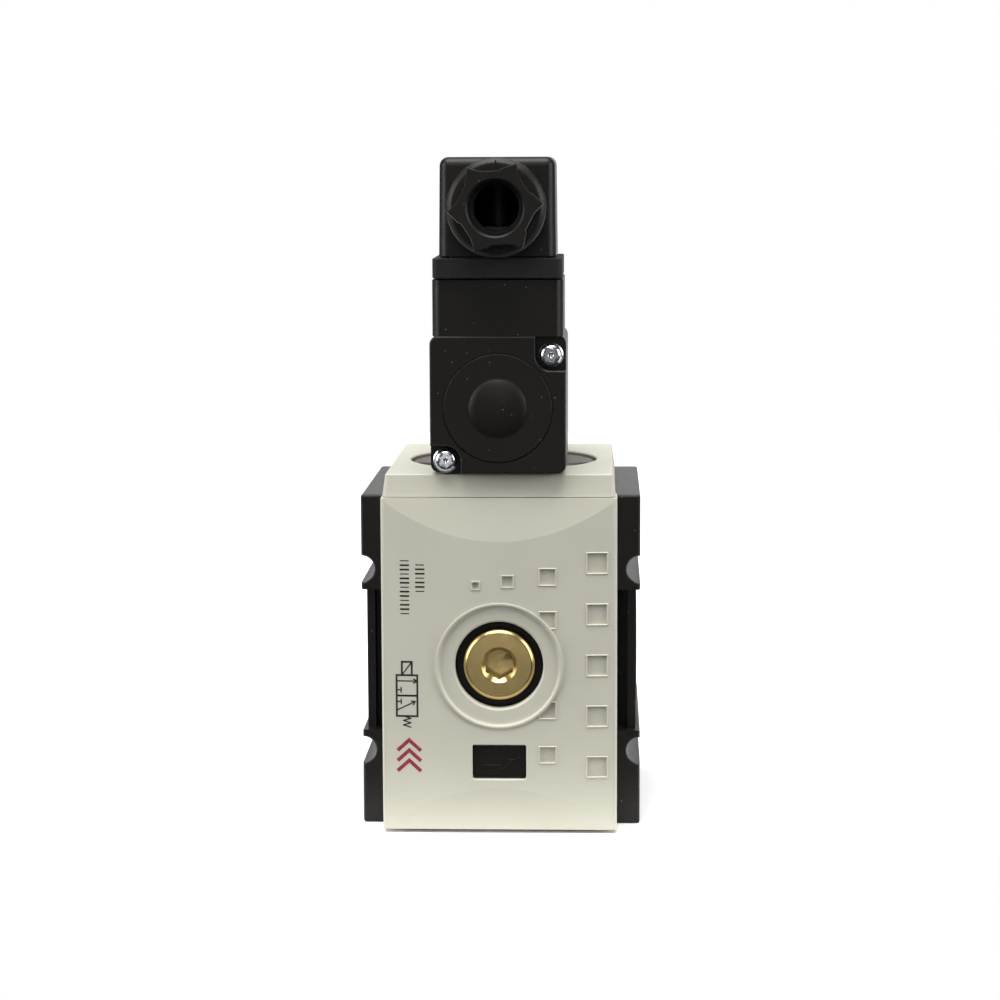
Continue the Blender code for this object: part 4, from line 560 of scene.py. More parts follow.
# Each copy is scaled by its own size in the face and by one in depth, and turned by its own angle.
copies_tree, given = node_tree("copies_on_points", {"Copy": "Object", "Finish": "Material"})
copy_size = add_node(copies_tree, "GeometryNodeInputNamedAttribute", {"Name": "size"},
                     data_type="FLOAT_VECTOR")
copy_turn = add_node(copies_tree, "GeometryNodeInputNamedAttribute", {"Name": "turn"},
                     data_type="FLOAT_VECTOR")
copy_turned = add_node(copies_tree, "FunctionNodeEulerToRotation", {0: copy_turn.outputs[0]})
copy_shape = add_node(copies_tree, "GeometryNodeObjectInfo", {"Object": given["Copy"]})
copies = add_node(copies_tree, "GeometryNodeInstanceOnPoints",
                  {"Points": given["Geometry"], "Instance": copy_shape.outputs["Geometry"],
                   "Rotation": copy_turned.outputs[0], "Scale": copy_size.outputs[0]})
end_tree(copies_tree, copies.outputs[0], given["Finish"])


def set_copies(name, shape, places, sizes, turns, finish):
    """Set copies of a small shape at the given places."""
    model = item_from(shape, name + "_model")
    points = points_mesh(name, places, size=sizes, turn=turns)
    made = run_tree(name, copies_tree, {"Copy": model, "Finish": finish}, points)
    bpy.data.objects.remove(model)
    return made


face_points, face_turns = [], []
for x, z, size in square_places:
    face_points.append((x, bulge_at(x), gauge_z + z))
    face_turns.append((0.0, 0.0, math.atan(2 * cover_bulge * x / cover_half ** 2)))
lip_width = 0.34 * mm
lip_rise = 0.2 * mm
pocket_sizes = [(size, 1.0, size) for _, _, size in square_places]
lip_sizes = [(size + 2 * lip_width, 1.0, size + 2 * lip_width) for _, _, size in square_places]
unit_square = round_rectangle(1.0, 1.0)
lips = set_copies("lips", prism(unit_square,
                                [(-lip_rise, -0.03), (-0.3 * lip_rise, 0.0), (0.5 * mm, 0.0)], "Y"),
                  face_points, lip_sizes, face_turns, grey_abs)
pockets = set_copies("pockets",
                     prism(unit_square, [(-1.0 * mm, 0.035), (-lip_rise, 0.035), (-0.3 * lip_rise, 0.0),
                                         (square_depth, 0.0)], "Y"),
                     face_points, pocket_sizes, face_turns, grey_abs)
ring_void = turned([(0.0, cover_crown - beyond), (ring_radius - 0.1 * mm, cover_crown - beyond),
                    (ring_radius - 0.1 * mm, block_front), (0.0, block_front)], "Y", (stem_x, gauge_z),
                   0.0, 144)
carve(lips, ring_void)
ring_void = turned([(0.0, cover_crown - beyond),
                    (ring_radius + ring_half - 0.02 * mm, cover_crown - beyond),
                    (ring_radius + ring_half - 0.02 * mm, block_front), (0.0, block_front)],
                   "Y", (stem_x, gauge_z), 0.0, 144)
carve(pockets, ring_void)
carve(cover, lips, how="UNION")
carve(cover, pockets)


def mark_arcs(item):
    """Keep the shallow arcs between the bulge and the planed facets crisp."""
    shape = bmesh.new()
    shape.from_mesh(item.data)
    item.data.shade_smooth()
    for edge in shape.edges:
        lean = edge.calc_face_angle(0.0)
        middle = (edge.verts[0].co + edge.verts[1].co) / 2
        along = (edge.verts[1].co - edge.verts[0].co).normalized()
        near_ring = math.hypot(middle.x - stem_x, middle.z - gauge_z) < ring_radius + 2 * ring_half
        on_a_curve = near_ring or abs(along.z) > 0.9 or lean < math.radians(0.6)
        edge.smooth = on_a_curve and lean < math.radians(32)
    for face in shape.faces:
        face.smooth = True
    shape.to_mesh(item.data)
    shape.free()


mark_arcs(cover)
fit(cover, "front_cover_shell", grey_abs, "valve", "light_grey_abs", "front_cover", sharp=None)

# ================================================================== pad-printed marks
# A plain 3/2-way valve symbol, rows of bars and three flow chevrons are pad-printed on the cover in
# thin ink. They stand where a maker would print its own name and numbers.
ink_rise = 0.03 * mm
ink_left = -cover_half + 5.6 * mm    # middle of the printed column


def pad_ink(name, colour):
    """Pad-printing ink: thin, a little glossy, with slightly uneven cover."""
    made = bpy.data.materials.new(name)
    made.use_nodes = True
    tree = made.node_tree
    surface = tree.nodes["Principled BSDF"]
    place = add_node(tree, "ShaderNodeTexCoord").outputs["Object"]
    patch = add_node(tree, "ShaderNodeTexNoise",
                     {"Vector": place, "Scale": 1 / (0.7 * mm), "Detail": 4.0})
    gloss = add_node(tree, "ShaderNodeMapRange", {0: patch.outputs[0], 1: 0.3, 2: 0.7, 3: 0.38, 4: 0.55})
    tint = add_node(tree, "ShaderNodeHueSaturation", {"Color": linear(colour), "Value": 1.0})
    value = add_node(tree, "ShaderNodeMapRange", {0: patch.outputs[0], 1: 0.3, 2: 0.7, 3: 0.8, 4: 1.25})
    tree.links.new(value.outputs[0], tint.inputs["Value"])
    tree.links.new(tint.outputs[0], surface.inputs["Base Color"])
    tree.links.new(gloss.outputs[0], surface.inputs["Roughness"])
    return made


def ink_strokes(strokes):
    """Flat strokes of (start, stop, width) on the bulged face, in places across and up the cover."""
    shape = bmesh.new()
    for start, stop, width in strokes:
        start, stop = Vector(start), Vector(stop)
        along = (stop - start).normalized() * width / 2
        across = Vector((-along.y, along.x))
        corners = [start - along + across, start - along - across, stop + along - across,
                   stop + along + across]
        front = [shape.verts.new((c.x, bulge_at(c.x) - ink_rise, c.y)) for c in corners]
        back = [shape.verts.new((c.x, bulge_at(c.x) + ink_rise, c.y)) for c in corners]
        shape.faces.new(front)
        shape.faces.new(back[::-1])
        for k in range(4):
            shape.faces.new((front[k - 1], back[k - 1], back[k], front[k]))
    bmesh.ops.recalc_face_normals(shape, faces=shape.faces)
    return shape


def frame_strokes(left, low, right, high, width):
    """The four sides of a drawn rectangle."""
    corners = [(left, low), (right, low), (right, high), (left, high)]
    return [(corners[k - 1], corners[k], width) for k in range(4)]


# The symbol stands on end: two square positions side by side, a flow arrow in one, a closed port
# in each, a spring zigzag below and the solenoid's slashed box above.
fine_line, bold_line = 0.28 * mm, 0.42 * mm
cell = 4.6 * mm
symbol_left, symbol_right = ink_left - cell / 2, ink_left + cell / 2
symbol_low = block_low.z + 26.6 * mm
symbol = []
for number in range(2):
    low = symbol_low + number * cell
    symbol += frame_strokes(symbol_left, low, symbol_right, low + cell, bold_line)
lower_z, upper_z = symbol_low + 1.3 * mm, symbol_low + 3.3 * mm
symbol += [((symbol_left, lower_z), (symbol_right - 0.5 * mm, upper_z), fine_line),
           ((symbol_right - 0.5 * mm, upper_z), (symbol_right - 1.3 * mm, upper_z + 0.1 * mm), fine_line),
           ((symbol_right - 0.5 * mm, upper_z), (symbol_right - 0.9 * mm, upper_z - 0.7 * mm), fine_line),
           ((symbol_left, upper_z), (symbol_left + 1.0 * mm, upper_z), fine_line),
           ((symbol_left + 1.0 * mm, upper_z - 0.5 * mm), (symbol_left + 1.0 * mm, upper_z + 0.5 * mm),
            fine_line)]
lower_z, upper_z = lower_z + cell, upper_z + cell
symbol += [((symbol_left, upper_z), (symbol_right, upper_z), fine_line),
           ((symbol_right, upper_z), (symbol_right - 0.8 * mm, upper_z - 0.45 * mm), fine_line),
           ((symbol_right, upper_z), (symbol_right - 0.8 * mm, upper_z + 0.45 * mm), fine_line),
           ((symbol_left, lower_z), (symbol_left + 1.0 * mm, lower_z), fine_line),
           ((symbol_left + 1.0 * mm, lower_z - 0.5 * mm), (symbol_left + 1.0 * mm, lower_z + 0.5 * mm),
            fine_line)]
zigzag = [(ink_left + (0.8 * mm if k % 2 else -0.8 * mm), symbol_low - 0.5 * mm * k) for k in range(6)]
symbol += [(a, b, fine_line) for a, b in zip(zigzag, zigzag[1:])]
switch_low = symbol_low + 2 * cell
symbol += frame_strokes(ink_left - 1.1 * mm, switch_low, ink_left + 1.1 * mm, switch_low + 3.0 * mm,
                        bold_line)
symbol.append(((ink_left - 1.1 * mm, switch_low), (ink_left + 1.1 * mm, switch_low + 3.0 * mm),
               fine_line))

# Two rows of plain bars, whose widths follow a short rule and are no code.
bars = []
for column, count, low in ((ink_left - 0.35 * mm, 13, 49.6), (ink_left + 3.05 * mm, 7, 54.6)):
    for k in range(count):
        bar_z = block_low.z + low * mm + k * 0.98 * mm
        width = (0.22 + 0.16 * (k * k % 3)) * mm
        bars.append(((column - 0.85 * mm, bar_z), (column + 0.85 * mm, bar_z), width))
black_ink = pad_ink("black_pad_ink", "262524")
symbol_print = item_from(ink_strokes(symbol + bars), "symbol_print")
fit(symbol_print, "printed_valve_symbol", black_ink, "valve", "black_polyamide")

chevrons = []
for number in range(3):
    tip = (ink_left + 0.4 * mm, block_low.z + (21.2 - 2.3 * number) * mm)
    chevrons += [(tip, (tip[0] - 2.3 * mm, tip[1] - 2.1 * mm), 0.8 * mm),
                 (tip, (tip[0] + 2.3 * mm, tip[1] - 2.1 * mm), 0.8 * mm)]
red_ink = pad_ink("dark_red_pad_ink", "8E2E40")
fit(item_from(ink_strokes(chevrons), "chevrons"), "printed_flow_chevrons", red_ink, "valve",
    "black_polyamide")


# ================================================================== flow arrow plate
# A black tab pushed into the window from behind, so that it can be turned for either flow
# direction. The arrow is embossed on its face by the mould.
plate_face = cover_crown + 0.9 * mm
plate_rim = 1.4 * mm
plate_rim_thick = 1.6 * mm
plate = item_from(prism(round_rectangle(window_width - 2 * touch, window_height - 2 * touch, 0.4 * mm),
                        rolled(plate_face, plate_rear - plate_rim_thick / 2, 0.12 * mm, 0.0), "Y",
                        (stem_x, window_z)), "plate")
carve(plate, prism(round_rectangle(window_width - 2 * touch + 2 * plate_rim,
                                   window_height - 2 * touch + 2 * plate_rim, 0.5 * mm),
                   rolled(plate_rear - plate_rim_thick, plate_rear, 0.1 * mm, 0.1 * mm), "Y",
                   (stem_x, window_z)), how="UNION")


def emboss(points, width, low_y, high_y, centre):
    """A raised bar between two places on a face."""
    start, stop = (Vector(p) for p in points)
    lean = math.atan2((stop - start).y, (stop - start).x)
    outline = [(Vector(p) @ Matrix.Rotation(-lean, 2)) + (start + stop) / 2 for p in
               round_rectangle((stop - start).length + width, width, width * 0.3, 2)]
    return prism([tuple(p) for p in outline],
                 [(low_y, -0.04 * mm), (low_y + 0.04 * mm, 0.0), (high_y, 0.0)], "Y", centre)


arrow_lines = [((-3.6, -0.9), (-0.2, -0.9)), ((-0.2, -0.9), (0.5, -1.9)), ((0.5, -1.9), (3.4, 0.3)),
               ((3.4, 0.3), (2.3, 0.25)), ((3.4, 0.3), (3.1, -0.8))]
for start, stop in arrow_lines:
    bar = emboss(((start[0] * mm, start[1] * mm), (stop[0] * mm, stop[1] * mm)), 0.4 * mm,
                 plate_face - 0.18 * mm, plate_face + 0.3 * mm, (stem_x, window_z))
    carve(plate, bar, how="UNION")
fit(plate, "moulded_flow_arrow_plate", black_polyamide, "valve", "black_polyamide", "flow_arrow_plate")


# ================================================================== top cap
# A shallow light grey ABS lid, pushed onto the block from above on four posts. Its sides lean in a
# little so that it leaves the mould, and the bonnet shows through its round opening.
cap_wall = 1.9 * mm
cap_draft = 0.7 * mm
opening_radius = 21.35 * mm
cap_width, cap_depth = cap_high.x - cap_low.x, cap_high.y - cap_low.y
cap_middle = (stem_x, (cap_high.y + cap_low.y) / 2)
cap_height = cap_high.z - cap_bottom
cap_levels = [(station, growth - cap_draft * (station - cap_bottom) / cap_height)
              for station, growth in rolled(cap_bottom, cap_high.z, 0.15 * mm, 0.3 * mm, 5)]
cap = item_from(prism(round_rectangle(cap_width + 0.5 * mm, cap_depth, 1.3 * mm), cap_levels, "Z",
                      cap_middle), "cap")
cap_inside = box_shape((cap_low.x + cap_wall, cap_low.y + cap_wall, cap_bottom - beyond),
                       (cap_high.x - cap_wall, cap_high.y - cap_wall, cap_high.z - cap_wall), 0.4 * mm)
opening = turned([(0.0, cap_bottom - beyond), (opening_radius, cap_bottom - beyond),
                  (opening_radius, cap_high.z - rim), (opening_radius + rim, cap_high.z),
                  (opening_radius + rim, cap_high.z + beyond), (0.0, cap_high.z + beyond)],
                 "Z", (stem_x, stem_y), 0.0, 128)
skirt = box_shape((cap_low.x + 0.02 * mm, block_front + touch, block_high.z + touch),
                  (cap_high.x - 0.02 * mm, cap_high.y - 0.02 * mm, cap_bottom + 0.4 * mm), 0.15 * mm)
carve(cap, skirt, how="UNION")
carve(cap, cap_inside, opening)
carve(cap, *[turned([(0.0, block_high.z - post_depth), (post_radius, block_high.z - post_depth, 0.4 * mm),
                     (post_radius, cap_high.z - cap_wall / 2), (0.0, cap_high.z - cap_wall / 2)],
                    "Z", place, 0.0, 32) for place in cap_posts], how="UNION")
fit(cap, "top_cap_shell", grey_abs, "valve", "light_grey_abs", "top_cap")


# ================================================================== gauge port
# The gauge port is closed by a turned brass plug with a hexagon socket. It presses a rubber washer
# on the block's boss and screws into a knurled brass insert moulded in the block.
plug_low, plug_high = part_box("gauge_port_plug")
plug_head_radius = 7.9 * mm
plug_head_height = 2.7 * mm
plug_thread_radius = 5.6 * mm
socket_flats = 6.0 * mm
socket_depth = 5.0 * mm
plug_rear = plug_low.y + plug_head_height


def turned_metal(name, colour, shade, roughness, pitch, relief, axis, centre):
    """Bare metal off the lathe: fine rings about its own axis and slightly cloudy colour."""
    made = bpy.data.materials.new(name)
    made.use_nodes = True
    tree = made.node_tree
    surface = tree.nodes["Principled BSDF"]
    surface.inputs["Metallic"].default_value = 1.0
    place = add_node(tree, "ShaderNodeTexCoord").outputs["Object"]
    centred = add_node(tree, "ShaderNodeMapping", {"Vector": place, "Location": [-c for c in centre]})
    rings = add_node(tree, "ShaderNodeTexWave",
                     {"Vector": centred.outputs[0], "Scale": 2 * math.pi / (20 * pitch),
                      "Distortion": 0.4, "Detail": 1.0},
                     wave_type="RINGS", rings_direction=axis)
    cloud = add_node(tree, "ShaderNodeTexNoise",
                     {"Vector": place, "Scale": 1 / (1.5 * mm), "Detail": 4.0})
    base = add_node(tree, "ShaderNodeMix", {0: cloud.outputs[0], 6: linear(colour), 7: linear(shade)},
                    data_type="RGBA")
    gloss = add_node(tree, "ShaderNodeMapRange", {0: cloud.outputs[0], 1: 0.3, 2: 0.7,
                                                  3: roughness * 0.9, 4: roughness * 1.12})
    bump = add_node(tree, "ShaderNodeBump", {"Height": rings.outputs[1], "Distance": relief})
    tree.links.new(base.outputs[2], surface.inputs["Base Color"])
    tree.links.new(gloss.outputs[0], surface.inputs["Roughness"])
    tree.links.new(bump.outputs[0], surface.inputs["Normal"])
    return made


# Free-cutting brass: warm yellow, satin from the tool's rings, brighter on the chamfers.
turned_brass = turned_metal("turned_brass", "D2BA80", "C9B176", 0.24, 0.3 * mm, 0.004 * mm, "Y",
                            (stem_x, 0.0, gauge_z))


def hexagon(flats, turn=0.0):
    """A hexagon's outline by its width across the flats."""
    return [(flats / math.sqrt(3) * math.cos(turn + math.pi * k / 3),
             flats / math.sqrt(3) * math.sin(turn + math.pi * k / 3)) for k in range(6)]


gauge_axis = (stem_x, gauge_z)
plug = item_from(turned([(0.0, plug_low.y), (plug_head_radius - 0.75 * mm, plug_low.y),
                         (plug_head_radius, plug_low.y + 0.55 * mm), (plug_head_radius, plug_rear),
                         (plug_thread_radius - 0.5 * mm, plug_rear),
                         (plug_thread_radius - 0.5 * mm, plug_high.y - 0.5 * mm),
                         (plug_thread_radius - 1.0 * mm, plug_high.y), (0.0, plug_high.y)],
                        "Y", gauge_axis, 0.12 * mm), "plug")
socket_floor = plug_low.y + socket_depth
socket_round = socket_flats / math.sqrt(3)
carve(plug, prism(hexagon(socket_flats, math.pi / 2), [(plug_low.y - beyond, 0.0), (socket_floor, 0.0)],
                  "Y", gauge_axis),
      turned([(0.0, plug_low.y - beyond), (socket_round + 0.55 * mm + beyond, plug_low.y - beyond),
              (socket_round - 0.35 * mm, plug_low.y + 0.9 * mm), (0.0, plug_low.y + 0.9 * mm)],
             "Y", gauge_axis, 0.0),
      turned([(0.0, socket_floor - 1.0 * mm), (socket_flats / 2 - 0.2 * mm, socket_floor - 1.0 * mm),
              (socket_flats / 2 - 0.2 * mm, socket_floor), (0.0, socket_floor + 1.2 * mm)],
             "Y", gauge_axis, 0.0))

# Threads are one ridge of three-sided section on a spiral, laid on or in the plain bore.
thread_tree, given = node_tree("thread_ridge", {"Radius": "Float", "Length": "Float", "Turns": "Float",
                                                "Depth": "Float", "Axis": "Vector", "Place": "Vector",
                                                "Finish": "Material"})
ridge_line = add_node(thread_tree, "GeometryNodeCurveSpiral",
                      {"Resolution": 48, "Rotations": given["Turns"], "Start Radius": given["Radius"],
                       "End Radius": given["Radius"], "Height": given["Length"]})
ridge_section = add_node(thread_tree, "GeometryNodeCurvePrimitiveCircle",
                         {"Resolution": 3, "Radius": given["Depth"]}, mode="RADIUS")
ridge = add_node(thread_tree, "GeometryNodeCurveToMesh",
                 {0: ridge_line.outputs[0], 1: ridge_section.outputs[0],
                  "Fill Caps": True})
ridge_placed = add_node(thread_tree, "GeometryNodeTransform",
                        {"Geometry": ridge.outputs[0], "Translation": given["Place"],
                         "Rotation": given["Axis"]})
end_tree(thread_tree, ridge_placed.outputs[0], given["Finish"])
along_y = (-math.pi / 2, 0.0, 0.0)
along_x = (0.0, math.pi / 2, 0.0)
along_z = (0.0, 0.0, 0.0)


def add_thread(item, radius, pitch, length, place, axis, finish):
    """Lay a thread ridge on a piece, from a place along its axis, as part of its mesh."""
    ridge_item = run_tree("ridge", thread_tree,
                          {"Radius": radius, "Length": length, "Turns": length / pitch,
                           "Depth": 0.42 * pitch, "Axis": axis, "Place": place,
                           "Finish": finish})
    return merged(item, ridge_item)


def merged(item, *others):
    """Take other items' meshes into one item, each as its own closed solid."""
    shape = bmesh.new()
    shape.from_mesh(item.data)
    for other in others:
        other.data.materials.clear()
        shape.from_mesh(other.data)
        bpy.data.objects.remove(other)
    shape.to_mesh(item.data)
    shape.free()
    return item


add_thread(plug, plug_thread_radius - 0.5 * mm, 1.0 * mm, plug_high.y - plug_rear - 1.6 * mm,
           (stem_x, plug_rear + 0.6 * mm, gauge_z), along_y, turned_brass)
fit(plug, "brass_gauge_plug", turned_brass, "valve", "brass", "gauge_port_plug")

washer_low, washer_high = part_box("gauge_port_washer")


def moulded_rubber(name, colour, roughness):
    """Nitrile rubber: very dark, matt, with a faint bloom and a soft fine grain."""
    made = moulded_plastic(name, colour, "1F1F20", roughness, 0.18 * mm, 0.008 * mm)
    made.node_tree.nodes["Principled BSDF"].inputs["Specular IOR Level"].default_value = 0.35
    return made


nitrile = moulded_rubber("nitrile_rubber", "161617", 0.72)
gauge_washer = turned([(plug_thread_radius + touch, washer_low.y), (washer_high.x, washer_low.y),
                       (washer_high.x, washer_high.y), (plug_thread_radius + touch, washer_high.y)],
                      "Y", gauge_axis, 0.25 * mm)
fit(item_from(gauge_washer, "washer"), "rubber_gauge_washer", nitrile, "valve", "black_rubber",
    "gauge_port_washer")

knurl_tree, given = node_tree("knurl_ridges", {"Radius": "Float", "Length": "Float", "Width": "Float",
                                               "Count": "Int", "Axis": "Vector", "Place": "Vector",
                                               "Finish": "Material"})
knurl_points = add_node(knurl_tree, "GeometryNodeMeshCircle",
                        {"Vertices": given["Count"], "Radius": given["Radius"]})
knurl_size = add_node(knurl_tree, "ShaderNodeCombineXYZ",
                      {0: given["Width"], 1: given["Width"], 2: given["Length"]})
knurl_ridge = add_node(knurl_tree, "GeometryNodeMeshCube", {"Size": knurl_size.outputs[0]})
knurl_index = add_node(knurl_tree, "GeometryNodeInputIndex")
knurl_angle = add_node(knurl_tree, "ShaderNodeMath", {0: 2 * math.pi, 1: given["Count"]},
                       operation="DIVIDE")
knurl_turn = add_node(knurl_tree, "ShaderNodeMath", {0: knurl_index.outputs[0], 1: knurl_angle.outputs[0],
                                                     2: math.pi / 4}, operation="MULTIPLY_ADD")
knurl_euler = add_node(knurl_tree, "ShaderNodeCombineXYZ", {2: knurl_turn.outputs[0]})
knurl_rotation = add_node(knurl_tree, "FunctionNodeEulerToRotation", {0: knurl_euler.outputs[0]})
knurl_set = add_node(knurl_tree, "GeometryNodeInstanceOnPoints",
                     {"Points": knurl_points.outputs[0], "Instance": knurl_ridge.outputs[0],
                      "Rotation": knurl_rotation.outputs[0]})
knurl_placed = add_node(knurl_tree, "GeometryNodeTransform",
                        {"Geometry": knurl_set.outputs[0], "Translation": given["Place"],
                         "Rotation": given["Axis"]})
end_tree(knurl_tree, knurl_placed.outputs[0], given["Finish"])


def threaded_insert(name, node, bore, radius, length, axis, turn, place, slot, finish):
    """A ring with a thread inside and a knurl round it, moulded into the block."""
    reach = "XYZ".index(axis)
    low, high = (corner[reach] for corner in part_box(node))
    across = [c for k, c in enumerate(place) if k != reach]
    item = item_from(turned([(bore, low, 0.5 * mm), (radius - 0.25 * mm, low), (radius - 0.25 * mm, high),
                             (bore, high, 0.5 * mm)], axis, across, 0.2 * mm), node)
    place_of_ridge = Vector(place)
    place_of_ridge[reach] = low + 0.5 * mm
    add_thread(item, bore, 1.3 * mm, length - 1.0 * mm, place_of_ridge, turn, finish)
    middle = Vector(place)
    middle[reach] = (low + high) / 2
    knurl = run_tree("knurl", knurl_tree,
                     {"Radius": radius - 0.3 * mm, "Length": length - 1.6 * mm, "Width": 0.5 * mm,
                      "Count": int(radius / (0.16 * mm)), "Axis": turn,
                      "Place": middle,
                      "Finish": finish})
    merged(item, knurl)
    return fit(item, name, finish, "valve", slot, node)


threaded_insert("knurled_gauge_insert", "gauge_port_insert", plug_thread_radius + touch,
                gauge_insert_radius,
                9.0 * mm, "Y", along_y, (stem_x, 0.0, gauge_z), "brass", turned_brass)


# ================================================================== port inserts and face seals
# Die-cast zinc rings with pipe threads sit in the two ports and the exhaust. An O-ring in a groove
# round each port seals the face of the neighbouring unit.
def cast_zinc(name, colour, shade, roughness):
    """Die-cast zinc: dull grey metal with a slightly mottled, pitted skin."""
    made = turned_metal(name, colour, shade, roughness, 0.4 * mm, 0.02 * mm, "X", (0.0, 0.0, 0.0))
    tree = made.node_tree
    place = tree.nodes["Texture Coordinate"].outputs["Object"]
    pits = add_node(tree, "ShaderNodeTexNoise",
                    {"Vector": place, "Scale": 1 / (0.35 * mm), "Detail": 3.0})
    tree.links.new(pits.outputs[0], tree.nodes["Bump"].inputs["Height"])
    tree.nodes.remove(tree.nodes["Wave Texture"])
    return made


die_cast_zinc = cast_zinc("die_cast_zinc_skin", "A9A9AC", "8F9093", 0.42)
for side, name in ((-1, "inlet"), (1, "outlet")):
    threaded_insert(f"threaded_{name}_insert", f"{name}_thread_insert", port_radius, insert_radius,
                    insert_length,
                    "X", along_x, (0.0, stem_y, block_middle_z), "die_cast_zinc", die_cast_zinc)
exhaust_low, exhaust_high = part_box("exhaust_thread_insert")
threaded_insert("threaded_exhaust_insert", "exhaust_thread_insert", port_radius, insert_radius,
                exhaust_high.z - exhaust_low.z, "Z", along_z, (stem_x, stem_y, 0.0), "die_cast_zinc",
                die_cast_zinc)

# O-rings are a round section carried round a circle.
o_ring_tree, given = node_tree("o_ring", {"Radius": "Float", "Section": "Float", "Axis": "Vector",
                                          "Place": "Vector", "Finish": "Material"})
o_ring_line = add_node(o_ring_tree, "GeometryNodeCurvePrimitiveCircle",
                       {"Resolution": 96, "Radius": given["Radius"]})
o_ring_section = add_node(o_ring_tree, "GeometryNodeCurvePrimitiveCircle",
                          {"Resolution": 16, "Radius": given["Section"]})
o_ring = add_node(o_ring_tree, "GeometryNodeCurveToMesh",
                  {0: o_ring_line.outputs[0], 1: o_ring_section.outputs[0]})
o_ring_placed = add_node(o_ring_tree, "GeometryNodeTransform",
                         {"Geometry": o_ring.outputs[0], "Translation": given["Place"],
                          "Rotation": given["Axis"]})
end_tree(o_ring_tree, o_ring_placed.outputs[0], given["Finish"])


def fit_o_ring(name, node, section, axis, turn, body="valve"):
    """An O-ring of the size and place of its node."""
    low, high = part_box(node)
    across = (axis + 1) % 3
    ring_item = run_tree(name, o_ring_tree, {"Radius": (high[across] - low[across]) / 2 - section,
                                             "Section": section, "Axis": turn, "Place": (low + high) / 2,
                                             "Finish": nitrile})
    return fit(ring_item, name, nitrile, body, "black_rubber", node, sharp=80.0)


fit_o_ring("inlet_o_ring", "inlet_face_seal", face_seal_section, 0, along_x)
fit_o_ring("outlet_o_ring", "outlet_face_seal", face_seal_section, 0, along_x)
fit_o_ring("bonnet_o_ring", "bonnet_seal", 0.8 * mm, 2, along_z)
fit_o_ring("piston_o_ring", "piston_seal", 0.9 * mm, 2, along_z, "shuttle")


# ================================================================== valve works
# Inside the block a die-cast sleeve holds the two seats. The steel stem carries the piston, two
# rubber poppets and a lock nut; a spring under it closes the inlet when the pilot air is off.
# Steel off the lathe, bright zinc plated: smooth, mirror-like in the flats, blue-white.
bright_zinc = turned_metal("bright_zinc_plated_steel", "DADCE0", "C6C9CF", 0.2, 0.35 * mm, 0.0008 * mm,
                           "Z", (stem_x, stem_y, 0.0))
plain_steel = turned_metal("turned_steel_bar", "C2C3C6", "ABADB0", 0.28, 0.3 * mm, 0.0012 * mm, "Y",
                           (stem_x, 0.0, 0.0))
spring_wire = turned_metal("drawn_spring_steel", "9A9CA0", "7E8084", 0.3, 0.2 * mm, 0.001 * mm, "Z",
                           (stem_x, stem_y, 0.0))
# Dark grey polyamide of the bonnet and the hidden mouldings: warmer and duller than the black.
grey_polyamide = moulded_plastic("dark_grey_polyamide_moulded", "67615C", "5D5854", 0.55, 0.3 * mm,
                                 0.03 * mm)
works_axis = (stem_x, stem_y)


def ring_profile(bore, radius, low, high, ease=None):
    """Profile of a plain ring; its outer edges may be eased by a radius."""
    edge = (ease,) if ease else ()
    return [(bore, low), (radius, low, *edge), (radius, high, *edge), (bore, high)]


stem_radius = (stem_high.x - stem_low.x) / 2
stem = item_from(turned([(0.0, stem_low.z), (stem_radius - 0.5 * mm, stem_low.z),
                         (stem_radius, stem_low.z + 0.5 * mm),
                         (stem_radius, stem_high.z - 0.5 * mm), (stem_radius - 0.5 * mm, stem_high.z),
                         (0.0, stem_high.z)], "Z", works_axis, 0.1 * mm, 48), "stem")
nut_low, nut_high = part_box("stem_nut")
add_thread(stem, stem_radius, 1.0 * mm, stem_high.z - nut_low.z - 0.8 * mm, (stem_x, stem_y, nut_low.z),
           along_z, bright_zinc)
fit(stem, "turned_valve_stem", bright_zinc, "shuttle", "zinc_plated_steel", "valve_stem")

for node, name in (("inlet_poppet", "rubber_inlet_poppet"), ("exhaust_poppet", "rubber_exhaust_poppet")):
    low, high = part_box(node)
    poppet = turned(ring_profile(stem_radius + touch, (high.x - low.x) / 2, low.z, high.z, 0.6 * mm),
                    "Z", works_axis, 0.1 * mm, 64)
    fit(item_from(poppet, name), name, nitrile, "shuttle", "black_rubber", node)

piston_low, piston_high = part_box("piston")
piston_radius = (piston_high.x - piston_low.x) / 2
piston_middle = (piston_low.z + piston_high.z) / 2
piston = turned([(stem_radius + touch, piston_low.z), (piston_radius, piston_low.z, 0.4 * mm),
                 (piston_radius, piston_middle - 1.3 * mm),
                 (piston_radius - 2.1 * mm, piston_middle - 1.3 * mm),
                 (piston_radius - 2.1 * mm, piston_middle + 1.3 * mm),
                 (piston_radius, piston_middle + 1.3 * mm),
                 (piston_radius, piston_high.z, 0.4 * mm), (stem_radius + touch, piston_high.z)],
                "Z", works_axis, 0.08 * mm)
fit(item_from(piston, "piston_disc"), "moulded_piston", grey_polyamide, "shuttle", "dark_grey_polyamide",
    "piston")

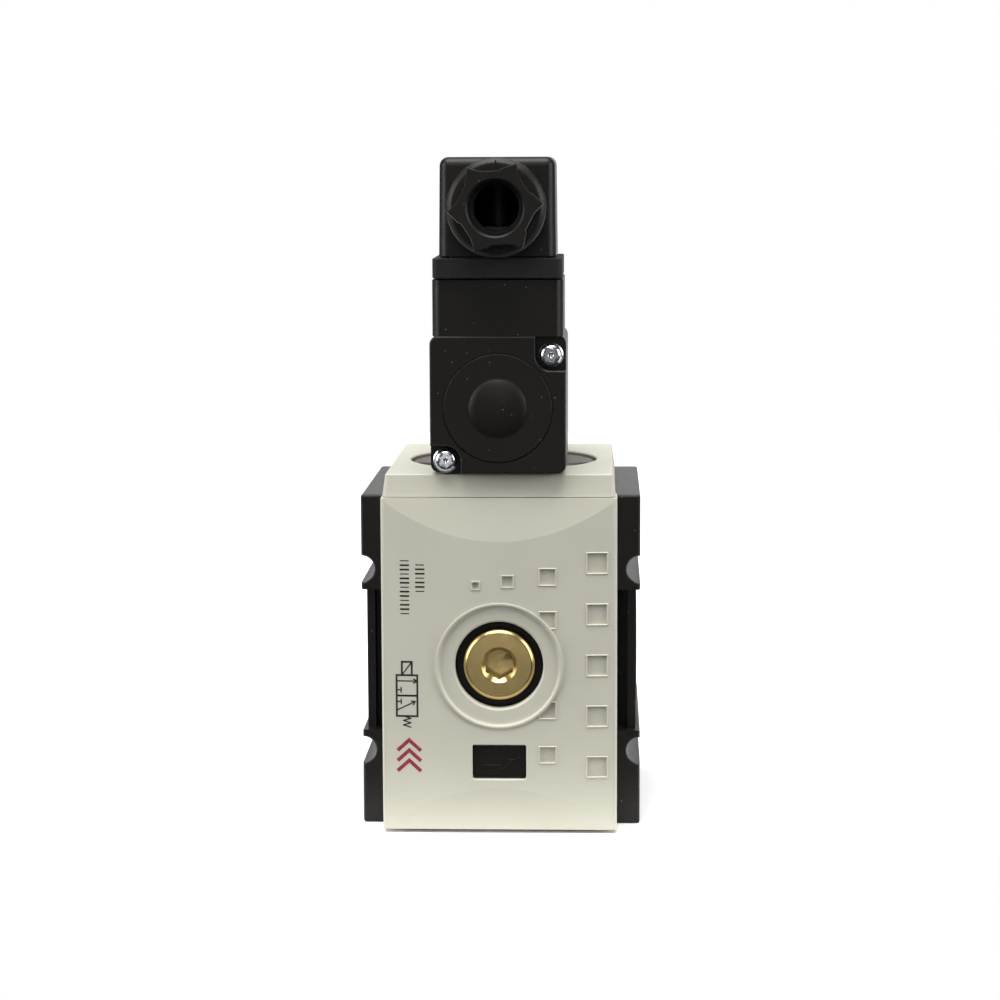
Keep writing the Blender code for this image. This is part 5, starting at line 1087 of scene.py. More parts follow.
nut_flats = (nut_high.y - nut_low.y)
lock_nut = item_from(prism(hexagon(nut_flats), [(nut_low.z, 0.0), (nut_high.z, 0.0)], "Z", works_axis),
                     "lock_nut")
crown = turned([(0.0, nut_low.z - beyond), (nut_flats / 2 - 0.2 * mm, nut_low.z),
                (nut_flats * 0.58, nut_low.z + 0.5 * mm),
                (nut_flats * 0.58, nut_high.z - 0.5 * mm), (nut_flats / 2 - 0.2 * mm, nut_high.z),
                (0.0, nut_high.z + beyond)], "Z", works_axis, 0.0)
carve(lock_nut, crown, how="INTERSECT")
carve(lock_nut, prism(disc(stem_radius + touch, 48),
                      [(nut_low.z - beyond, 0.0), (nut_high.z + beyond, 0.0)], "Z", works_axis))
fit(lock_nut, "stem_lock_nut", bright_zinc, "shuttle", "zinc_plated_steel", "stem_nut")

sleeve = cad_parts["seat_sleeve"]
sleeve.data.materials.clear()
sleeve.data.materials.append(die_cast_zinc)

guide_low, guide_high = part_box("lower_guide")
guide = item_from(turned(ring_profile(stem_radius + touch, insert_radius, guide_low.z, guide_high.z,
                                      0.3 * mm),
                         "Z", works_axis, 0.15 * mm), "guide")
vents = [turned([(0.0, guide_low.z - beyond), (2.0 * mm, guide_low.z - beyond),
                 (2.0 * mm, guide_high.z + beyond), (0.0, guide_high.z + beyond)], "Z",
                (stem_x + 9.0 * mm * math.cos(math.pi * k / 3),
                 stem_y + 9.0 * mm * math.sin(math.pi * k / 3)),
                0.0, 32) for k in range(6)]
carve(guide, *vents)
fit(guide, "drilled_lower_guide", turned_brass, "valve", "brass", "lower_guide")

# Springs are round wire on a spiral.
spring_tree, given = node_tree("coil_spring", {"Radius": "Float", "Wire": "Float", "Length": "Float",
                                               "Turns": "Float", "Axis": "Vector", "Place": "Vector",
                                               "Finish": "Material"})
spring_line = add_node(spring_tree, "GeometryNodeCurveSpiral",
                       {"Resolution": 40, "Rotations": given["Turns"], "Start Radius": given["Radius"],
                        "End Radius": given["Radius"], "Height": given["Length"]})
spring_section = add_node(spring_tree, "GeometryNodeCurvePrimitiveCircle",
                          {"Resolution": 12, "Radius": given["Wire"]})
spring_coil = add_node(spring_tree, "GeometryNodeCurveToMesh",
                       {0: spring_line.outputs[0], 1: spring_section.outputs[0], "Fill Caps": True})
spring_placed = add_node(spring_tree, "GeometryNodeTransform",
                         {"Geometry": spring_coil.outputs[0], "Translation": given["Place"],
                          "Rotation": given["Axis"]})
end_tree(spring_tree, spring_placed.outputs[0], given["Finish"])


def fit_spring(name, node, wire, turns, axis, turn):
    """A spring of the size and place of its node."""
    low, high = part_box(node)
    length = high[axis] - low[axis]
    across = (axis + 1) % 3
    foot = (low + high) / 2
    foot[axis] = low[axis] + wire
    coil = run_tree(name, spring_tree, {"Radius": (high[across] - low[across]) / 2 - wire, "Wire": wire,
                                        "Length": length - 2 * wire, "Turns": turns, "Axis": turn,
                                        "Place": foot, "Finish": spring_wire})
    fit(coil, name, spring_wire, "valve", "spring_steel", node, sharp=80.0)
    anchor = (low + high) / 2
    anchor[axis] = low[axis]
    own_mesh(coil)


fit_spring("wound_return_spring", "return_spring", 0.6 * mm, 5.0, 2, along_z)


# ================================================================== bonnet
# A round lid of dark grey polyamide closes the piston's bore. Two cap screws hold it down, and
# the upright plate that is moulded on it carries the pilot block and the coil.
bonnet_low, bonnet_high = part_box("pilot_bonnet")
coil_low, coil_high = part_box("coil_casing")
base_low, base_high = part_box("pilot_base")
bonnet_radius = (bonnet_high.x - bonnet_low.x) / 2
bonnet_bottom = block_high.z + touch
bonnet_top = bonnet_bottom + 4.6 * mm
riser_half = base_high.x
riser_low_z, riser_high_z = base_low.z, base_high.z
riser_front = base_high.y + 1.1 * mm + touch
pilot_round = 2.4 * mm
spigot = main_bore_radius - touch
spigot_low = bonnet_low.z
groove_middle = block_high.z - (block_high.z - spigot_low) / 2
bonnet = item_from(turned([(0.0, bonnet_top), (bonnet_radius - 0.3 * mm, bonnet_top),
                           (bonnet_radius, bonnet_top - 0.3 * mm),
                           (bonnet_radius, bonnet_bottom), (spigot, bonnet_bottom),
                           (spigot, groove_middle + 1.1 * mm),
                           (spigot - 1.9 * mm, groove_middle + 1.1 * mm),
                           (spigot - 1.9 * mm, groove_middle - 1.1 * mm),
                           (spigot, groove_middle - 1.1 * mm),
                           (spigot, spigot_low), (8.0 * mm, spigot_low),
                           (8.0 * mm, block_high.z - 1.0 * mm),
                           (0.0, block_high.z - 1.0 * mm)], "Z", works_axis, 0.12 * mm, 128), "bonnet")
riser_middle_z = (riser_low_z + riser_high_z) / 2
riser = prism(round_rectangle(2 * riser_half, riser_high_z - riser_low_z, pilot_round, 8),
              rolled(riser_front, bonnet_high.y, 0.3 * mm, 0.5 * mm), "Y", (stem_x, riser_middle_z))
foot = box_shape((stem_x - 11.8 * mm, riser_front, bonnet_top - 1.0 * mm),
                 (stem_x + 11.8 * mm, bonnet_high.y, riser_low_z + 1.0 * mm), 0.3 * mm)
carve(bonnet, foot, how="UNION")
carve(bonnet, riser, how="UNION")
disc_low, disc_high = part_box("coil_end_cap")
coil_z = (disc_low.z + disc_high.z) / 2
pilot_screw_offset = 11.5 * mm
pilot_screw_places = [(stem_x + side * pilot_screw_offset,
                       coil_z + side * pilot_screw_offset) for side in (-1, 1)]


def screw_ways(start, stop, axis, places, radius=1.6 * mm):
    """Cutters for the plain holes that a screw passes through."""
    return [prism(disc(radius, 32), [(start, 0.0), (stop, 0.0)], axis, place) for place in places]


carve(bonnet, *screw_ways(riser_front - beyond, bonnet_high.y - 1.2 * mm, "Y", pilot_screw_places))
for place in bonnet_screw_places:
    carve(bonnet, turned([(0.0, bonnet_top + beyond), (2.8 * mm + rim, bonnet_top + beyond),
                          (2.8 * mm + rim, bonnet_top), (2.8 * mm, bonnet_top - rim),
                          (2.8 * mm, bonnet_top - 3.1 * mm), (1.6 * mm, bonnet_top - 3.1 * mm),
                          (1.6 * mm, block_high.z - beyond), (0.0, block_high.z - beyond)],
                         "Z", place, 0.0, 48))
# Two vertical stiffening ribs stand on the back of the plate.
for offset in (-7.5, 7.5):
    rib = box_shape((stem_x + offset * mm - 0.6 * mm, bonnet_high.y - 1.0 * mm, riser_low_z + 3.0 * mm),
                    (stem_x + offset * mm + 0.6 * mm, bonnet_high.y + 0.25 * mm, riser_high_z - 4.0 * mm),
                    0.2 * mm)
    carve(bonnet, rib, how="UNION")
fit(bonnet, "moulded_pilot_bonnet", grey_polyamide, "valve", "dark_grey_polyamide", "pilot_bonnet")


def cap_screw(radius, head_low, head_high, shank, end, key, key_depth):
    """A cap screw on +Z about its own axis: eased head with a hexagon socket, plain shank."""
    screw = item_from(turned([(0.0, end), (shank - 0.3 * mm, end), (shank, end + 0.3 * mm),
                              (shank, head_low),
                              (radius, head_low), (radius, head_high, 0.35 * mm), (0.0, head_high)],
                             "Z", (0.0, 0.0), 0.08 * mm, 48), "screw")
    carve(screw, prism(hexagon(key), [(head_high - key_depth, 0.0), (head_high - 0.2 * mm, 0.0),
                                      (head_high, 0.2 * mm), (head_high + 1.0 * mm, 0.2 * mm)], "Z"))
    return screw


def shape_of(item):
    """Take an item's mesh back as a shape, and remove the item."""
    shape = bmesh.new()
    shape.from_mesh(item.data)
    bpy.data.objects.remove(item)
    return shape


screw_low, screw_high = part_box("bonnet_screw_left")
bonnet_screw = shape_of(cap_screw(2.5 * mm, bonnet_top - 2.8 * mm, screw_high.z, 1.3 * mm, screw_low.z,
                                  2.5 * mm, 1.5 * mm))
screws = set_copies("bonnet_screws", bonnet_screw, [(x, y, 0.0) for x, y in bonnet_screw_places],
                    [(1.0, 1.0, 1.0)] * 2, [(0.0, 0.0, 0.0), (0.0, 0.0, 0.5)], bright_zinc)
fit(screws, "bonnet_cap_screws", bright_zinc, "valve", "zinc_plated_steel", "bonnet_screw_left",
    "bonnet_screw_right")


# ================================================================== pilot block
# The black pilot valve block sits between coil and plate on a rubber gasket. It holds the nozzle
# that the plunger closes, and a slotted brass pin on its side opens the valve by hand.
base_size = (base_high.x - base_low.x, base_high.z - base_low.z)
base_middle = (stem_x, (base_low.z + base_high.z) / 2)
coil_axis = (stem_x, coil_z)
base = item_from(prism(round_rectangle(*base_size, pilot_round, 8),
                       rolled(base_low.y, base_high.y, 0.3 * mm, 0.3 * mm), "Y", base_middle), "base")
carve(base, turned([(0.0, base_low.y - beyond), (8.3 * mm, base_low.y - beyond),
                    (8.3 * mm, base_low.y + 2.3 * mm),
                    (0.0, base_low.y + 2.3 * mm)], "Y", coil_axis, 0.0),
      turned([(1.4 * mm, base_low.y), (5.0 * mm, base_low.y), (5.0 * mm, base_low.y + 4.2 * mm),
              (1.4 * mm, base_low.y + 4.2 * mm)], "Y", coil_axis, 0.0),
      turned([(0.0, base_low.y), (3.0 * mm, base_low.y), (3.0 * mm, base_low.y + 2.6 * mm),
              (0.0, base_low.y + 2.6 * mm)], "Y", coil_axis, 0.0),
      *screw_ways(base_low.y, base_high.y + beyond, "Y", [coil_axis], 0.6 * mm),
      *screw_ways(base_low.y - beyond, base_high.y + beyond, "Y", pilot_screw_places))
pin_low, pin_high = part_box("manual_override")
pin_axis = ((pin_low.y + pin_high.y) / 2, (pin_low.z + pin_high.z) / 2)
pin_radius = (pin_high.z - pin_low.z) / 2
carve(base, turned([(0.0, base_low.x - beyond), (pin_radius + touch + rim + beyond, base_low.x - beyond),
                    (pin_radius + touch, base_low.x + rim), (pin_radius + touch, pin_high.x + touch),
                    (0.0, pin_high.x + touch)], "X", pin_axis, 0.0, 64))
fit(base, "moulded_pilot_block", black_polyamide, "valve", "black_polyamide", "pilot_base")

override = item_from(turned([(0.0, pin_low.x), (pin_radius - 0.35 * mm, pin_low.x),
                             (pin_radius, pin_low.x + 0.35 * mm),
                             (pin_radius, pin_high.x), (0.0, pin_high.x)], "X", pin_axis, 0.08 * mm, 64),
                     "override")
carve(override, box_shape((pin_low.x - beyond, pin_axis[0] - 0.45 * mm, pin_low.z - beyond),
                          (pin_low.x + 1.1 * mm, pin_axis[0] + 0.45 * mm, pin_high.z + beyond)))
fit(override, "slotted_override_pin", turned_brass, "override", "brass", "manual_override")

gasket_low, gasket_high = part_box("pilot_gasket")
gasket = item_from(prism(round_rectangle(gasket_high.x - gasket_low.x, gasket_high.z - gasket_low.z,
                                         pilot_round, 8),
                         rolled(gasket_low.y, gasket_high.y, 0.2 * mm, 0.2 * mm), "Y", base_middle),
                   "gasket")
carve(gasket, *screw_ways(gasket_low.y - beyond, gasket_high.y + beyond, "Y", pilot_screw_places),
      *screw_ways(gasket_low.y - beyond, gasket_high.y + beyond, "Y", [coil_axis]))
fit(gasket, "cut_pilot_gasket", nitrile, "valve", "black_rubber", "pilot_gasket")


# ================================================================== solenoid coil
# The coil is cast into a black polyamide case with the connector's neck on top. A snap-in disc
# with a dome covers the front, and two corner pockets hold the heads of the long fixing screws.
coil_half = (coil_high.x - coil_low.x) / 2
coil_top = riser_high_z + 0.5 * mm
coil_round = 1.5 * mm
neck_half = 14.25 * mm
neck_front, neck_rear = coil_low.y + 0.6 * mm, coil_low.y + 28.6 * mm
casing = item_from(prism(round_rectangle(2 * coil_half, coil_top - coil_low.z, 1.2 * coil_round, 8),
                         rolled(coil_low.y, coil_high.y, 0.45 * mm, 0.45 * mm), "Y",
                         (0.0, (coil_low.z + coil_top) / 2)),
                   "casing")
neck_round = 2.2 * mm
neck = prism(round_rectangle(2 * neck_half, neck_rear - neck_front, neck_round, 8),
             rolled(coil_top - 0.1 * mm, coil_high.z, 0.0, 0.25 * mm), "Z",
             (stem_x, (neck_front + neck_rear) / 2))
disc_radius = (disc_high.x - disc_low.x) / 2
pocket_depth = 2.8 * mm
pocket_radius = 3.35 * mm
carve(casing,
      turned([(0.0, coil_low.y - beyond), (disc_radius + 0.08 * mm, coil_low.y - beyond),
              (disc_radius + 0.08 * mm, coil_low.y + 0.9 * mm),
              (0.0, coil_low.y + 0.9 * mm)], "Y", coil_axis, 0.0, 128),
      turned([(0.0, coil_low.y), (4.0 * mm, coil_low.y), (4.0 * mm, coil_low.y + 6.0 * mm),
              (0.0, coil_low.y + 6.0 * mm)], "Y", coil_axis, 0.0),
      turned([(0.0, coil_low.y + 3.0 * mm), (12.9 * mm, coil_low.y + 3.0 * mm),
              (12.9 * mm, coil_high.y + beyond), (0.0, coil_high.y + beyond)], "Y", coil_axis, 0.0, 128))
for (x, z), side in zip(pilot_screw_places, (-1, 1)):
    far = side * 8.0 * mm
    arc = [math.radians(270 - 90 * k / 12) for k in range(13)]
    pocket = [(x + far, z - side * pocket_radius)]
    pocket += [(x + side * pocket_radius * math.cos(a),
                z + side * pocket_radius * math.sin(a)) for a in arc]
    pocket += [(x - side * pocket_radius, z + far), (x + far, z + far)]
    carve(casing, prism(pocket, [(coil_low.y - beyond, 0.25 * mm), (coil_low.y, 0.25 * mm),
                                 (coil_low.y + 0.25 * mm, 0.0), (coil_low.y + pocket_depth, 0.0)], "Y"))
carve(casing, *screw_ways(coil_low.y, coil_high.y + beyond, "Y", pilot_screw_places))
carve(casing, neck, how="UNION")
for node in ("left_contact_pin", "right_contact_pin", "earth_contact_pin"):
    low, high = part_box(node)
    carve(casing, box_shape((low.x - touch, low.y - touch, low.z - touch),
                            (high.x + touch, high.y + touch, coil_high.z + beyond)))
    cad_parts[node].data.materials.clear()
    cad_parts[node].data.materials.append(turned_brass)
plug_screw_low, plug_screw_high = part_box("connector_screw")
plug_axis = (stem_x, (plug_screw_low.y + plug_screw_high.y) / 2)
carve(casing, *screw_ways(coil_high.z - 7.0 * mm, coil_high.z + beyond, "Z", [plug_axis], 1.8 * mm))
fit(casing, "moulded_coil_casing", black_polyamide, "valve", "black_polyamide", "coil_casing")

dome_radius = 6.4 * mm
dome_rise = 1.1 * mm
dome_step = 0.3 * mm
disc_face = disc_low.y + dome_rise
dome_swell = dome_rise - dome_step
dome = [(dome_radius * k / 8, disc_face - dome_step - dome_swell * math.cos(math.pi / 2 * k / 8))
        for k in range(8)]
disc_profile = [(r, s, 0.0) for r, s in dome]
disc_profile += [(dome_radius, disc_face, 0.25 * mm), (disc_radius - 0.08 * mm, disc_face, 0.22 * mm),
                 (disc_radius, disc_face + 0.6 * mm), (3.6 * mm, disc_face + 0.7 * mm),
                 (3.6 * mm, disc_high.y), (0.0, disc_high.y)]
end_disc = turned(disc_profile, "Y", coil_axis, 0.0, 128)
fit(item_from(end_disc, "end_disc"), "snap_in_end_disc", black_polyamide, "valve", "black_polyamide",
    "coil_end_cap")


def star_recess(radius):
    """Outline of a six-lobed screwdriver recess."""
    return [(radius * (0.84 + 0.16 * math.cos(6 * a)) * math.cos(a),
             radius * (0.84 + 0.16 * math.cos(6 * a)) * math.sin(a))
            for a in [2 * math.pi * k / 72 for k in range(72)]]


# Pan-head machine screws, bright zinc plated, with a six-lobed recess and a pressed-on flange.
pan_low, pan_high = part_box("pilot_screw_upper_right")
pan_radius = (pan_high.x - pan_low.x) / 2
pan_height = 2.0 * mm
pan_screw = item_from(turned([(0.0, pan_low.y), (pan_radius * 0.55, pan_low.y + 0.04 * mm, 0.2 * mm),
                              (pan_radius * 0.84, pan_low.y + 0.45 * mm, 0.4 * mm),
                              (pan_radius * 0.88, pan_low.y + pan_height - 0.55 * mm, 0.1 * mm),
                              (pan_radius, pan_low.y + pan_height - 0.4 * mm, 0.08 * mm),
                              (pan_radius, pan_low.y + pan_height, 0.08 * mm),
                              (1.3 * mm, pan_low.y + pan_height),
                              (1.3 * mm, pan_high.y - 0.3 * mm), (1.0 * mm, pan_high.y),
                              (0.0, pan_high.y)],
                             "Y", (0.0, 0.0), 0.05 * mm, 64), "pan_screw")
carve(pan_screw, prism(star_recess(1.72 * mm),
                       [(pan_low.y - beyond, 0.1 * mm), (pan_low.y + 0.12 * mm, 0.0),
                        (pan_low.y + 1.1 * mm, 0.0)], "Y"),
      turned([(0.0, pan_low.y + 1.0 * mm), (0.8 * mm, pan_low.y + 1.0 * mm), (0.0, pan_low.y + 1.5 * mm)],
             "Y", (0.0, 0.0), 0.0, 32))
pan_screws = set_copies("pan_screws", shape_of(pan_screw), [(x, 0.0, z) for x, z in pilot_screw_places],
                        [(1.0, 1.0, 1.0)] * 2, [(0.0, 0.4, 0.0), (0.0, 0.15, 0.0)], bright_zinc)
fit(pan_screws, "pilot_pan_screws", bright_zinc, "valve", "zinc_plated_steel", "pilot_screw_upper_right",
    "pilot_screw_lower_left")


# ================================================================== coil works
# Inside the case an enamelled copper winding on its bobbin sits in a steel frame. The brass tube
# through it holds a fixed core and the plunger, which a small spring pushes onto the nozzle.
def fit_ring(name, node, finish, body, slot, profile, centre, axis="Y", steps=72):
    """Turn a piece's profile, ease its edges and fit it in place of its node."""
    return fit(item_from(turned(profile, axis, centre, 0.15 * mm, steps), name), name, finish, body, slot,
               node)


frame_low, frame_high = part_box("magnet_frame")
frame_radius = (frame_high.x - frame_low.x) / 2
fit_ring("rolled_magnet_frame", "magnet_frame", plain_steel, "valve", "zinc_plated_steel",
         [(4.9 * mm, frame_low.y), (frame_radius, frame_low.y, 0.8 * mm), (frame_radius, frame_high.y),
          (frame_radius - 1.4 * mm, frame_high.y), (frame_radius - 1.4 * mm, frame_low.y + 1.4 * mm),
          (4.9 * mm, frame_low.y + 1.4 * mm)], coil_axis)
bobbin_low, bobbin_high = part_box("coil_bobbin")
flange_radius = (bobbin_high.x - bobbin_low.x) / 2
bobbin_wall = 1.2 * mm
fit_ring("moulded_bobbin", "coil_bobbin", grey_polyamide, "valve", "dark_grey_polyamide",
         [(4.9 * mm, bobbin_low.y), (flange_radius, bobbin_low.y),
          (flange_radius, bobbin_low.y + bobbin_wall),
          (5.9 * mm, bobbin_low.y + bobbin_wall), (5.9 * mm, bobbin_high.y - bobbin_wall),
          (flange_radius, bobbin_high.y - bobbin_wall), (flange_radius, bobbin_high.y),
          (4.9 * mm, bobbin_high.y)], coil_axis)
copper = turned_metal("enamelled_copper_wire", "B4602F", "9A4C24", 0.25, 0.3 * mm, 0.001 * mm, "Y",
                      (0.0, 0.0, 0.0))
wire_low, wire_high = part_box("coil_winding")
wire_radius = (wire_high.x - wire_low.x) / 2
wire_size = 0.28 * mm
winding = item_from(turned([(6.2 * mm, wire_low.y), (wire_radius - wire_size, wire_low.y),
                            (wire_radius - wire_size, wire_high.y), (6.2 * mm, wire_high.y)],
                           "Y", coil_axis, 0.1 * mm, 72), "winding")
turns_of_wire = run_tree("turns", spring_tree, {"Radius": wire_radius - wire_size, "Wire": wire_size,
                                                "Length": wire_high.y - wire_low.y - 2 * wire_size,
                                                "Turns": 42.0, "Axis": along_y,
                                                "Place": (stem_x, wire_low.y + wire_size, coil_z),
                                                "Finish": copper})
fit(merged(winding, turns_of_wire), "wound_copper_coil", copper, "valve", "enamelled_copper",
    "coil_winding", sharp=80.0)

tube_low, tube_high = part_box("armature_tube")
tube_foot = (tube_high.x - tube_low.x) / 2
fit_ring("drawn_armature_tube", "armature_tube", turned_brass, "valve", "brass",
         [(4.1 * mm, tube_low.y), (4.6 * mm, tube_low.y), (4.6 * mm, tube_high.y - 1.7 * mm),
          (tube_foot, tube_high.y - 1.7 * mm), (tube_foot, tube_high.y), (4.1 * mm, tube_high.y)],
         coil_axis)
core_low, core_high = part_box("fixed_core")
core_radius = (core_high.x - core_low.x) / 2
fit_ring("turned_fixed_core", "fixed_core", plain_steel, "valve", "zinc_plated_steel",
         [(0.0, core_low.y), (core_radius, core_low.y, 0.4 * mm), (core_radius, core_high.y, 0.4 * mm),
          (0.0, core_high.y)], coil_axis)
plunger_low, plunger_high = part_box("plunger")
seal_low, seal_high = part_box("plunger_seal")
seal_radius = (seal_high.x - seal_low.x) / 2
fit_ring("turned_plunger", "plunger", plain_steel, "armature", "zinc_plated_steel",
         [(0.0, plunger_low.y), (core_radius, plunger_low.y, 0.4 * mm),
          (core_radius, plunger_high.y, 0.4 * mm),
          (seal_radius, plunger_high.y), (seal_radius, seal_low.y), (0.0, seal_low.y)], coil_axis)
fit_ring("moulded_plunger_seal", "plunger_seal", nitrile, "armature", "black_rubber",
         [(0.0, seal_low.y), (seal_radius, seal_low.y), (seal_radius, seal_high.y, 0.5 * mm),
          (0.0, seal_high.y)], coil_axis, steps=48)
fit_spring("wound_plunger_spring", "plunger_spring", 0.3 * mm, 5.0, 1, along_y)


# ================================================================== plug connector
# The cable's plug is a black polyamide hood on a grey rubber gasket. Three brass terminals in its
# carrier grip the coil's pins, and one central screw holds it down.
hood_low, hood_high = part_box("connector_housing")
plug_gasket_low, plug_gasket_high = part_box("connector_gasket")
nut_box_low, nut_box_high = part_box("gland_nut")
gland_z = (nut_box_low.z + nut_box_high.z) / 2
hood_half = (hood_high.x - hood_low.x) / 2
hood_rear = hood_high.y
hood_front = plug_axis[1] - (hood_rear - plug_axis[1])
hood_round = 2.3 * mm
hood_wall = 1.6 * mm
hood_middle = (stem_x, (hood_front + hood_rear) / 2)
hood_size = (2 * hood_half, hood_rear - hood_front)
nozzle_radius = 9.3 * mm
nozzle_bore = 7.9 * mm
cable_way = 5.65 * mm
# The hood leans in towards its top, as a mould needs, and its top edge is well rounded.
hood_levels = [(station, growth - 0.25 * mm * (station - hood_low.z) / (hood_high.z - hood_low.z))
               for station, growth in rolled(hood_low.z, hood_high.z, 0.2 * mm, 1.9 * mm, 8)]
hood = item_from(prism(round_rectangle(*hood_size, hood_round, 8), hood_levels, "Z", hood_middle), "hood")
nozzle = turned([(0.0, hood_low.y), (nozzle_radius - 0.5 * mm, hood_low.y),
                 (nozzle_radius - 0.2 * mm, hood_low.y + 0.4 * mm),
                 (nozzle_radius, hood_front + 1.4 * mm), (0.0, hood_front + 1.4 * mm)], "Y",
                (stem_x, gland_z), 0.1 * mm)
carve(hood, nozzle, how="UNION")
inside_front = hood_front + hood_wall
carve(hood, box_shape((-hood_half + hood_wall, inside_front, hood_low.z - beyond),
                      (hood_half - hood_wall, hood_rear - hood_wall, hood_high.z - hood_wall), 0.6 * mm),
      turned([(0.0, hood_low.y - beyond), (nozzle_bore, hood_low.y - beyond),
              (nozzle_bore, inside_front - 1.0 * mm),
              (0.0, inside_front - 1.0 * mm)], "Y", (stem_x, gland_z), 0.0),
      turned([(0.0, hood_low.y), (cable_way, hood_low.y), (cable_way, inside_front + beyond),
              (0.0, inside_front + beyond)], "Y", (stem_x, gland_z), 0.0))
hood_screw_head = plug_screw_high.z - 1.8 * mm
carrier_low, carrier_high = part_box("contact_carrier")
carve(hood, turned([(0.0, carrier_high.z + touch), (4.4 * mm, carrier_high.z + touch),
                    (4.4 * mm, hood_high.z - 1.0 * mm), (0.0, hood_high.z - 1.0 * mm)], "Z", plug_axis,
                   0.0, 48),
      how="UNION")
carve(hood, turned([(0.0, hood_high.z + beyond), (3.4 * mm + beyond, hood_high.z + beyond),
                    (3.4 * mm, hood_high.z - 0.3 * mm), (3.1 * mm, hood_screw_head - touch),
                    (1.8 * mm, hood_screw_head - touch), (1.8 * mm, carrier_high.z - beyond),
                    (0.0, carrier_high.z - beyond)], "Z", plug_axis, 0.0, 64))
add_thread(hood, nozzle_radius - 0.35 * mm, 1.4 * mm, 4.4 * mm, (stem_x, hood_low.y + 0.8 * mm, gland_z),
           along_y, black_polyamide)
fit(hood, "moulded_connector_hood", black_polyamide, "connector", "black_polyamide", "connector_housing")

opening_half = 10.8 * mm
plug_gasket_size = (plug_gasket_high.x - plug_gasket_low.x, plug_gasket_high.y - plug_gasket_low.y)
plug_gasket_middle = (stem_x, (plug_gasket_high.y + plug_gasket_low.y) / 2)
plug_gasket = item_from(prism(round_rectangle(*plug_gasket_size, 1.2 * mm, 8),
                              rolled(plug_gasket_low.z, plug_gasket_high.z, 0.25 * mm, 0.25 * mm), "Z",
                              plug_gasket_middle), "plug_gasket")
carve(plug_gasket, prism(round_rectangle(2 * opening_half, 2 * opening_half, 0.8 * mm),
                         [(plug_gasket_low.z - beyond, 0.0), (plug_gasket_high.z + beyond, 0.0)], "Z",
                         plug_axis))
fit(plug_gasket, "moulded_connector_gasket", nitrile, "connector", "black_rubber", "connector_gasket")

carrier = item_from(box_shape(carrier_low, carrier_high, 0.8 * mm), "carrier")
for node in ("left_contact_terminal", "right_contact_terminal", "earth_contact_terminal"):
    low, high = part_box(node)
    carve(carrier, box_shape((low.x - touch, low.y - touch, carrier_low.z - beyond),
                             (high.x + touch, high.y + touch, carrier_high.z + beyond)))
    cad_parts[node].data.materials.clear()
    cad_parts[node].data.materials.append(turned_brass)
carve(carrier, *screw_ways(carrier_low.z - beyond, carrier_high.z + beyond, "Z", [plug_axis], 2.0 * mm))
fit(carrier, "moulded_contact_carrier", grey_polyamide, "connector", "dark_grey_polyamide",
    "contact_carrier")

cheese_head = item_from(turned([(0.0, plug_screw_low.z), (1.2 * mm, plug_screw_low.z),
                                (1.5 * mm, plug_screw_low.z + 0.4 * mm), (1.5 * mm, hood_screw_head),
                                (2.8 * mm, hood_screw_head), (2.8 * mm, plug_screw_high.z, 0.3 * mm),
                                (0.0, plug_screw_high.z)], "Z", plug_axis, 0.08 * mm, 48), "cheese_head")
carve(cheese_head, box_shape((-4.0 * mm, plug_axis[1] - 0.4 * mm, plug_screw_high.z - 1.0 * mm),
                             (4.0 * mm, plug_axis[1] + 0.4 * mm, plug_screw_high.z + beyond)))
add_thread(cheese_head, 1.38 * mm, 0.5 * mm, 5.0 * mm, (*plug_axis, plug_screw_low.z + 0.4 * mm), along_z,
           bright_zinc)
fit(cheese_head, "slotted_connector_screw", bright_zinc, "fixing_screw", "zinc_plated_steel",
    "connector_screw")


# ================================================================== cable gland
# The gland nut is a black star knob moulded in polyamide. Screwed in, it presses a steel washer on
# the rubber seal, which closes round the cable.
gland_axis = (stem_x, gland_z)
collar_radius = 10.65 * mm
collar_front, collar_rear = nut_box_high.y - 6.6 * mm, nut_box_high.y
star_front = nut_box_low.y
star_depth = 2.3 * mm
star_turn = math.radians(4.6)
hollow_shape = [(0.0, 0.0), (0.26, 0.75), (0.33, 1.0), (0.73, 0.92), (0.80, 0.80)]


def star_outline():
    """Six points with a slanted hollow between each pair, as a knob made for fingers."""
    points = []
    for lobe in range(6):
        for share, depth in hollow_shape:
            angle = star_turn + math.radians(60) * (lobe + share)
            radius = 10.3 * mm - star_depth * depth
            points.append((radius * math.cos(angle), radius * math.sin(angle)))
    return points


gland = item_from(turned([(0.0, collar_front), (collar_radius - 1.1 * mm, collar_front, 0.3 * mm),
                          (collar_radius, collar_front + 0.9 * mm, 0.3 * mm),
                          (collar_radius, collar_rear, 0.25 * mm),
                          (0.0, collar_rear)], "Y", gland_axis, 0.1 * mm, 128), "gland")
star = item_from(prism(star_outline(), [(star_front, -0.28 * mm), (star_front + 0.08 * mm, -0.12 * mm),
                                        (star_front + 0.28 * mm, 0.0), (collar_front + 0.5 * mm, 0.0)],
                       "Y", gland_axis), "star")
carve(gland, star, how="UNION")
for side in (-1, 1):
    tick = sorted([gland_z + side * (collar_radius - 1.9 * mm),
                   gland_z + side * (collar_radius - 0.6 * mm)])
    carve(gland, box_shape((stem_x - 0.15 * mm, collar_front - 0.1 * mm, tick[0]),
                           (stem_x + 0.15 * mm, collar_front + 1.0 * mm, tick[1])), how="UNION")
gland_thread = 9.6 * mm
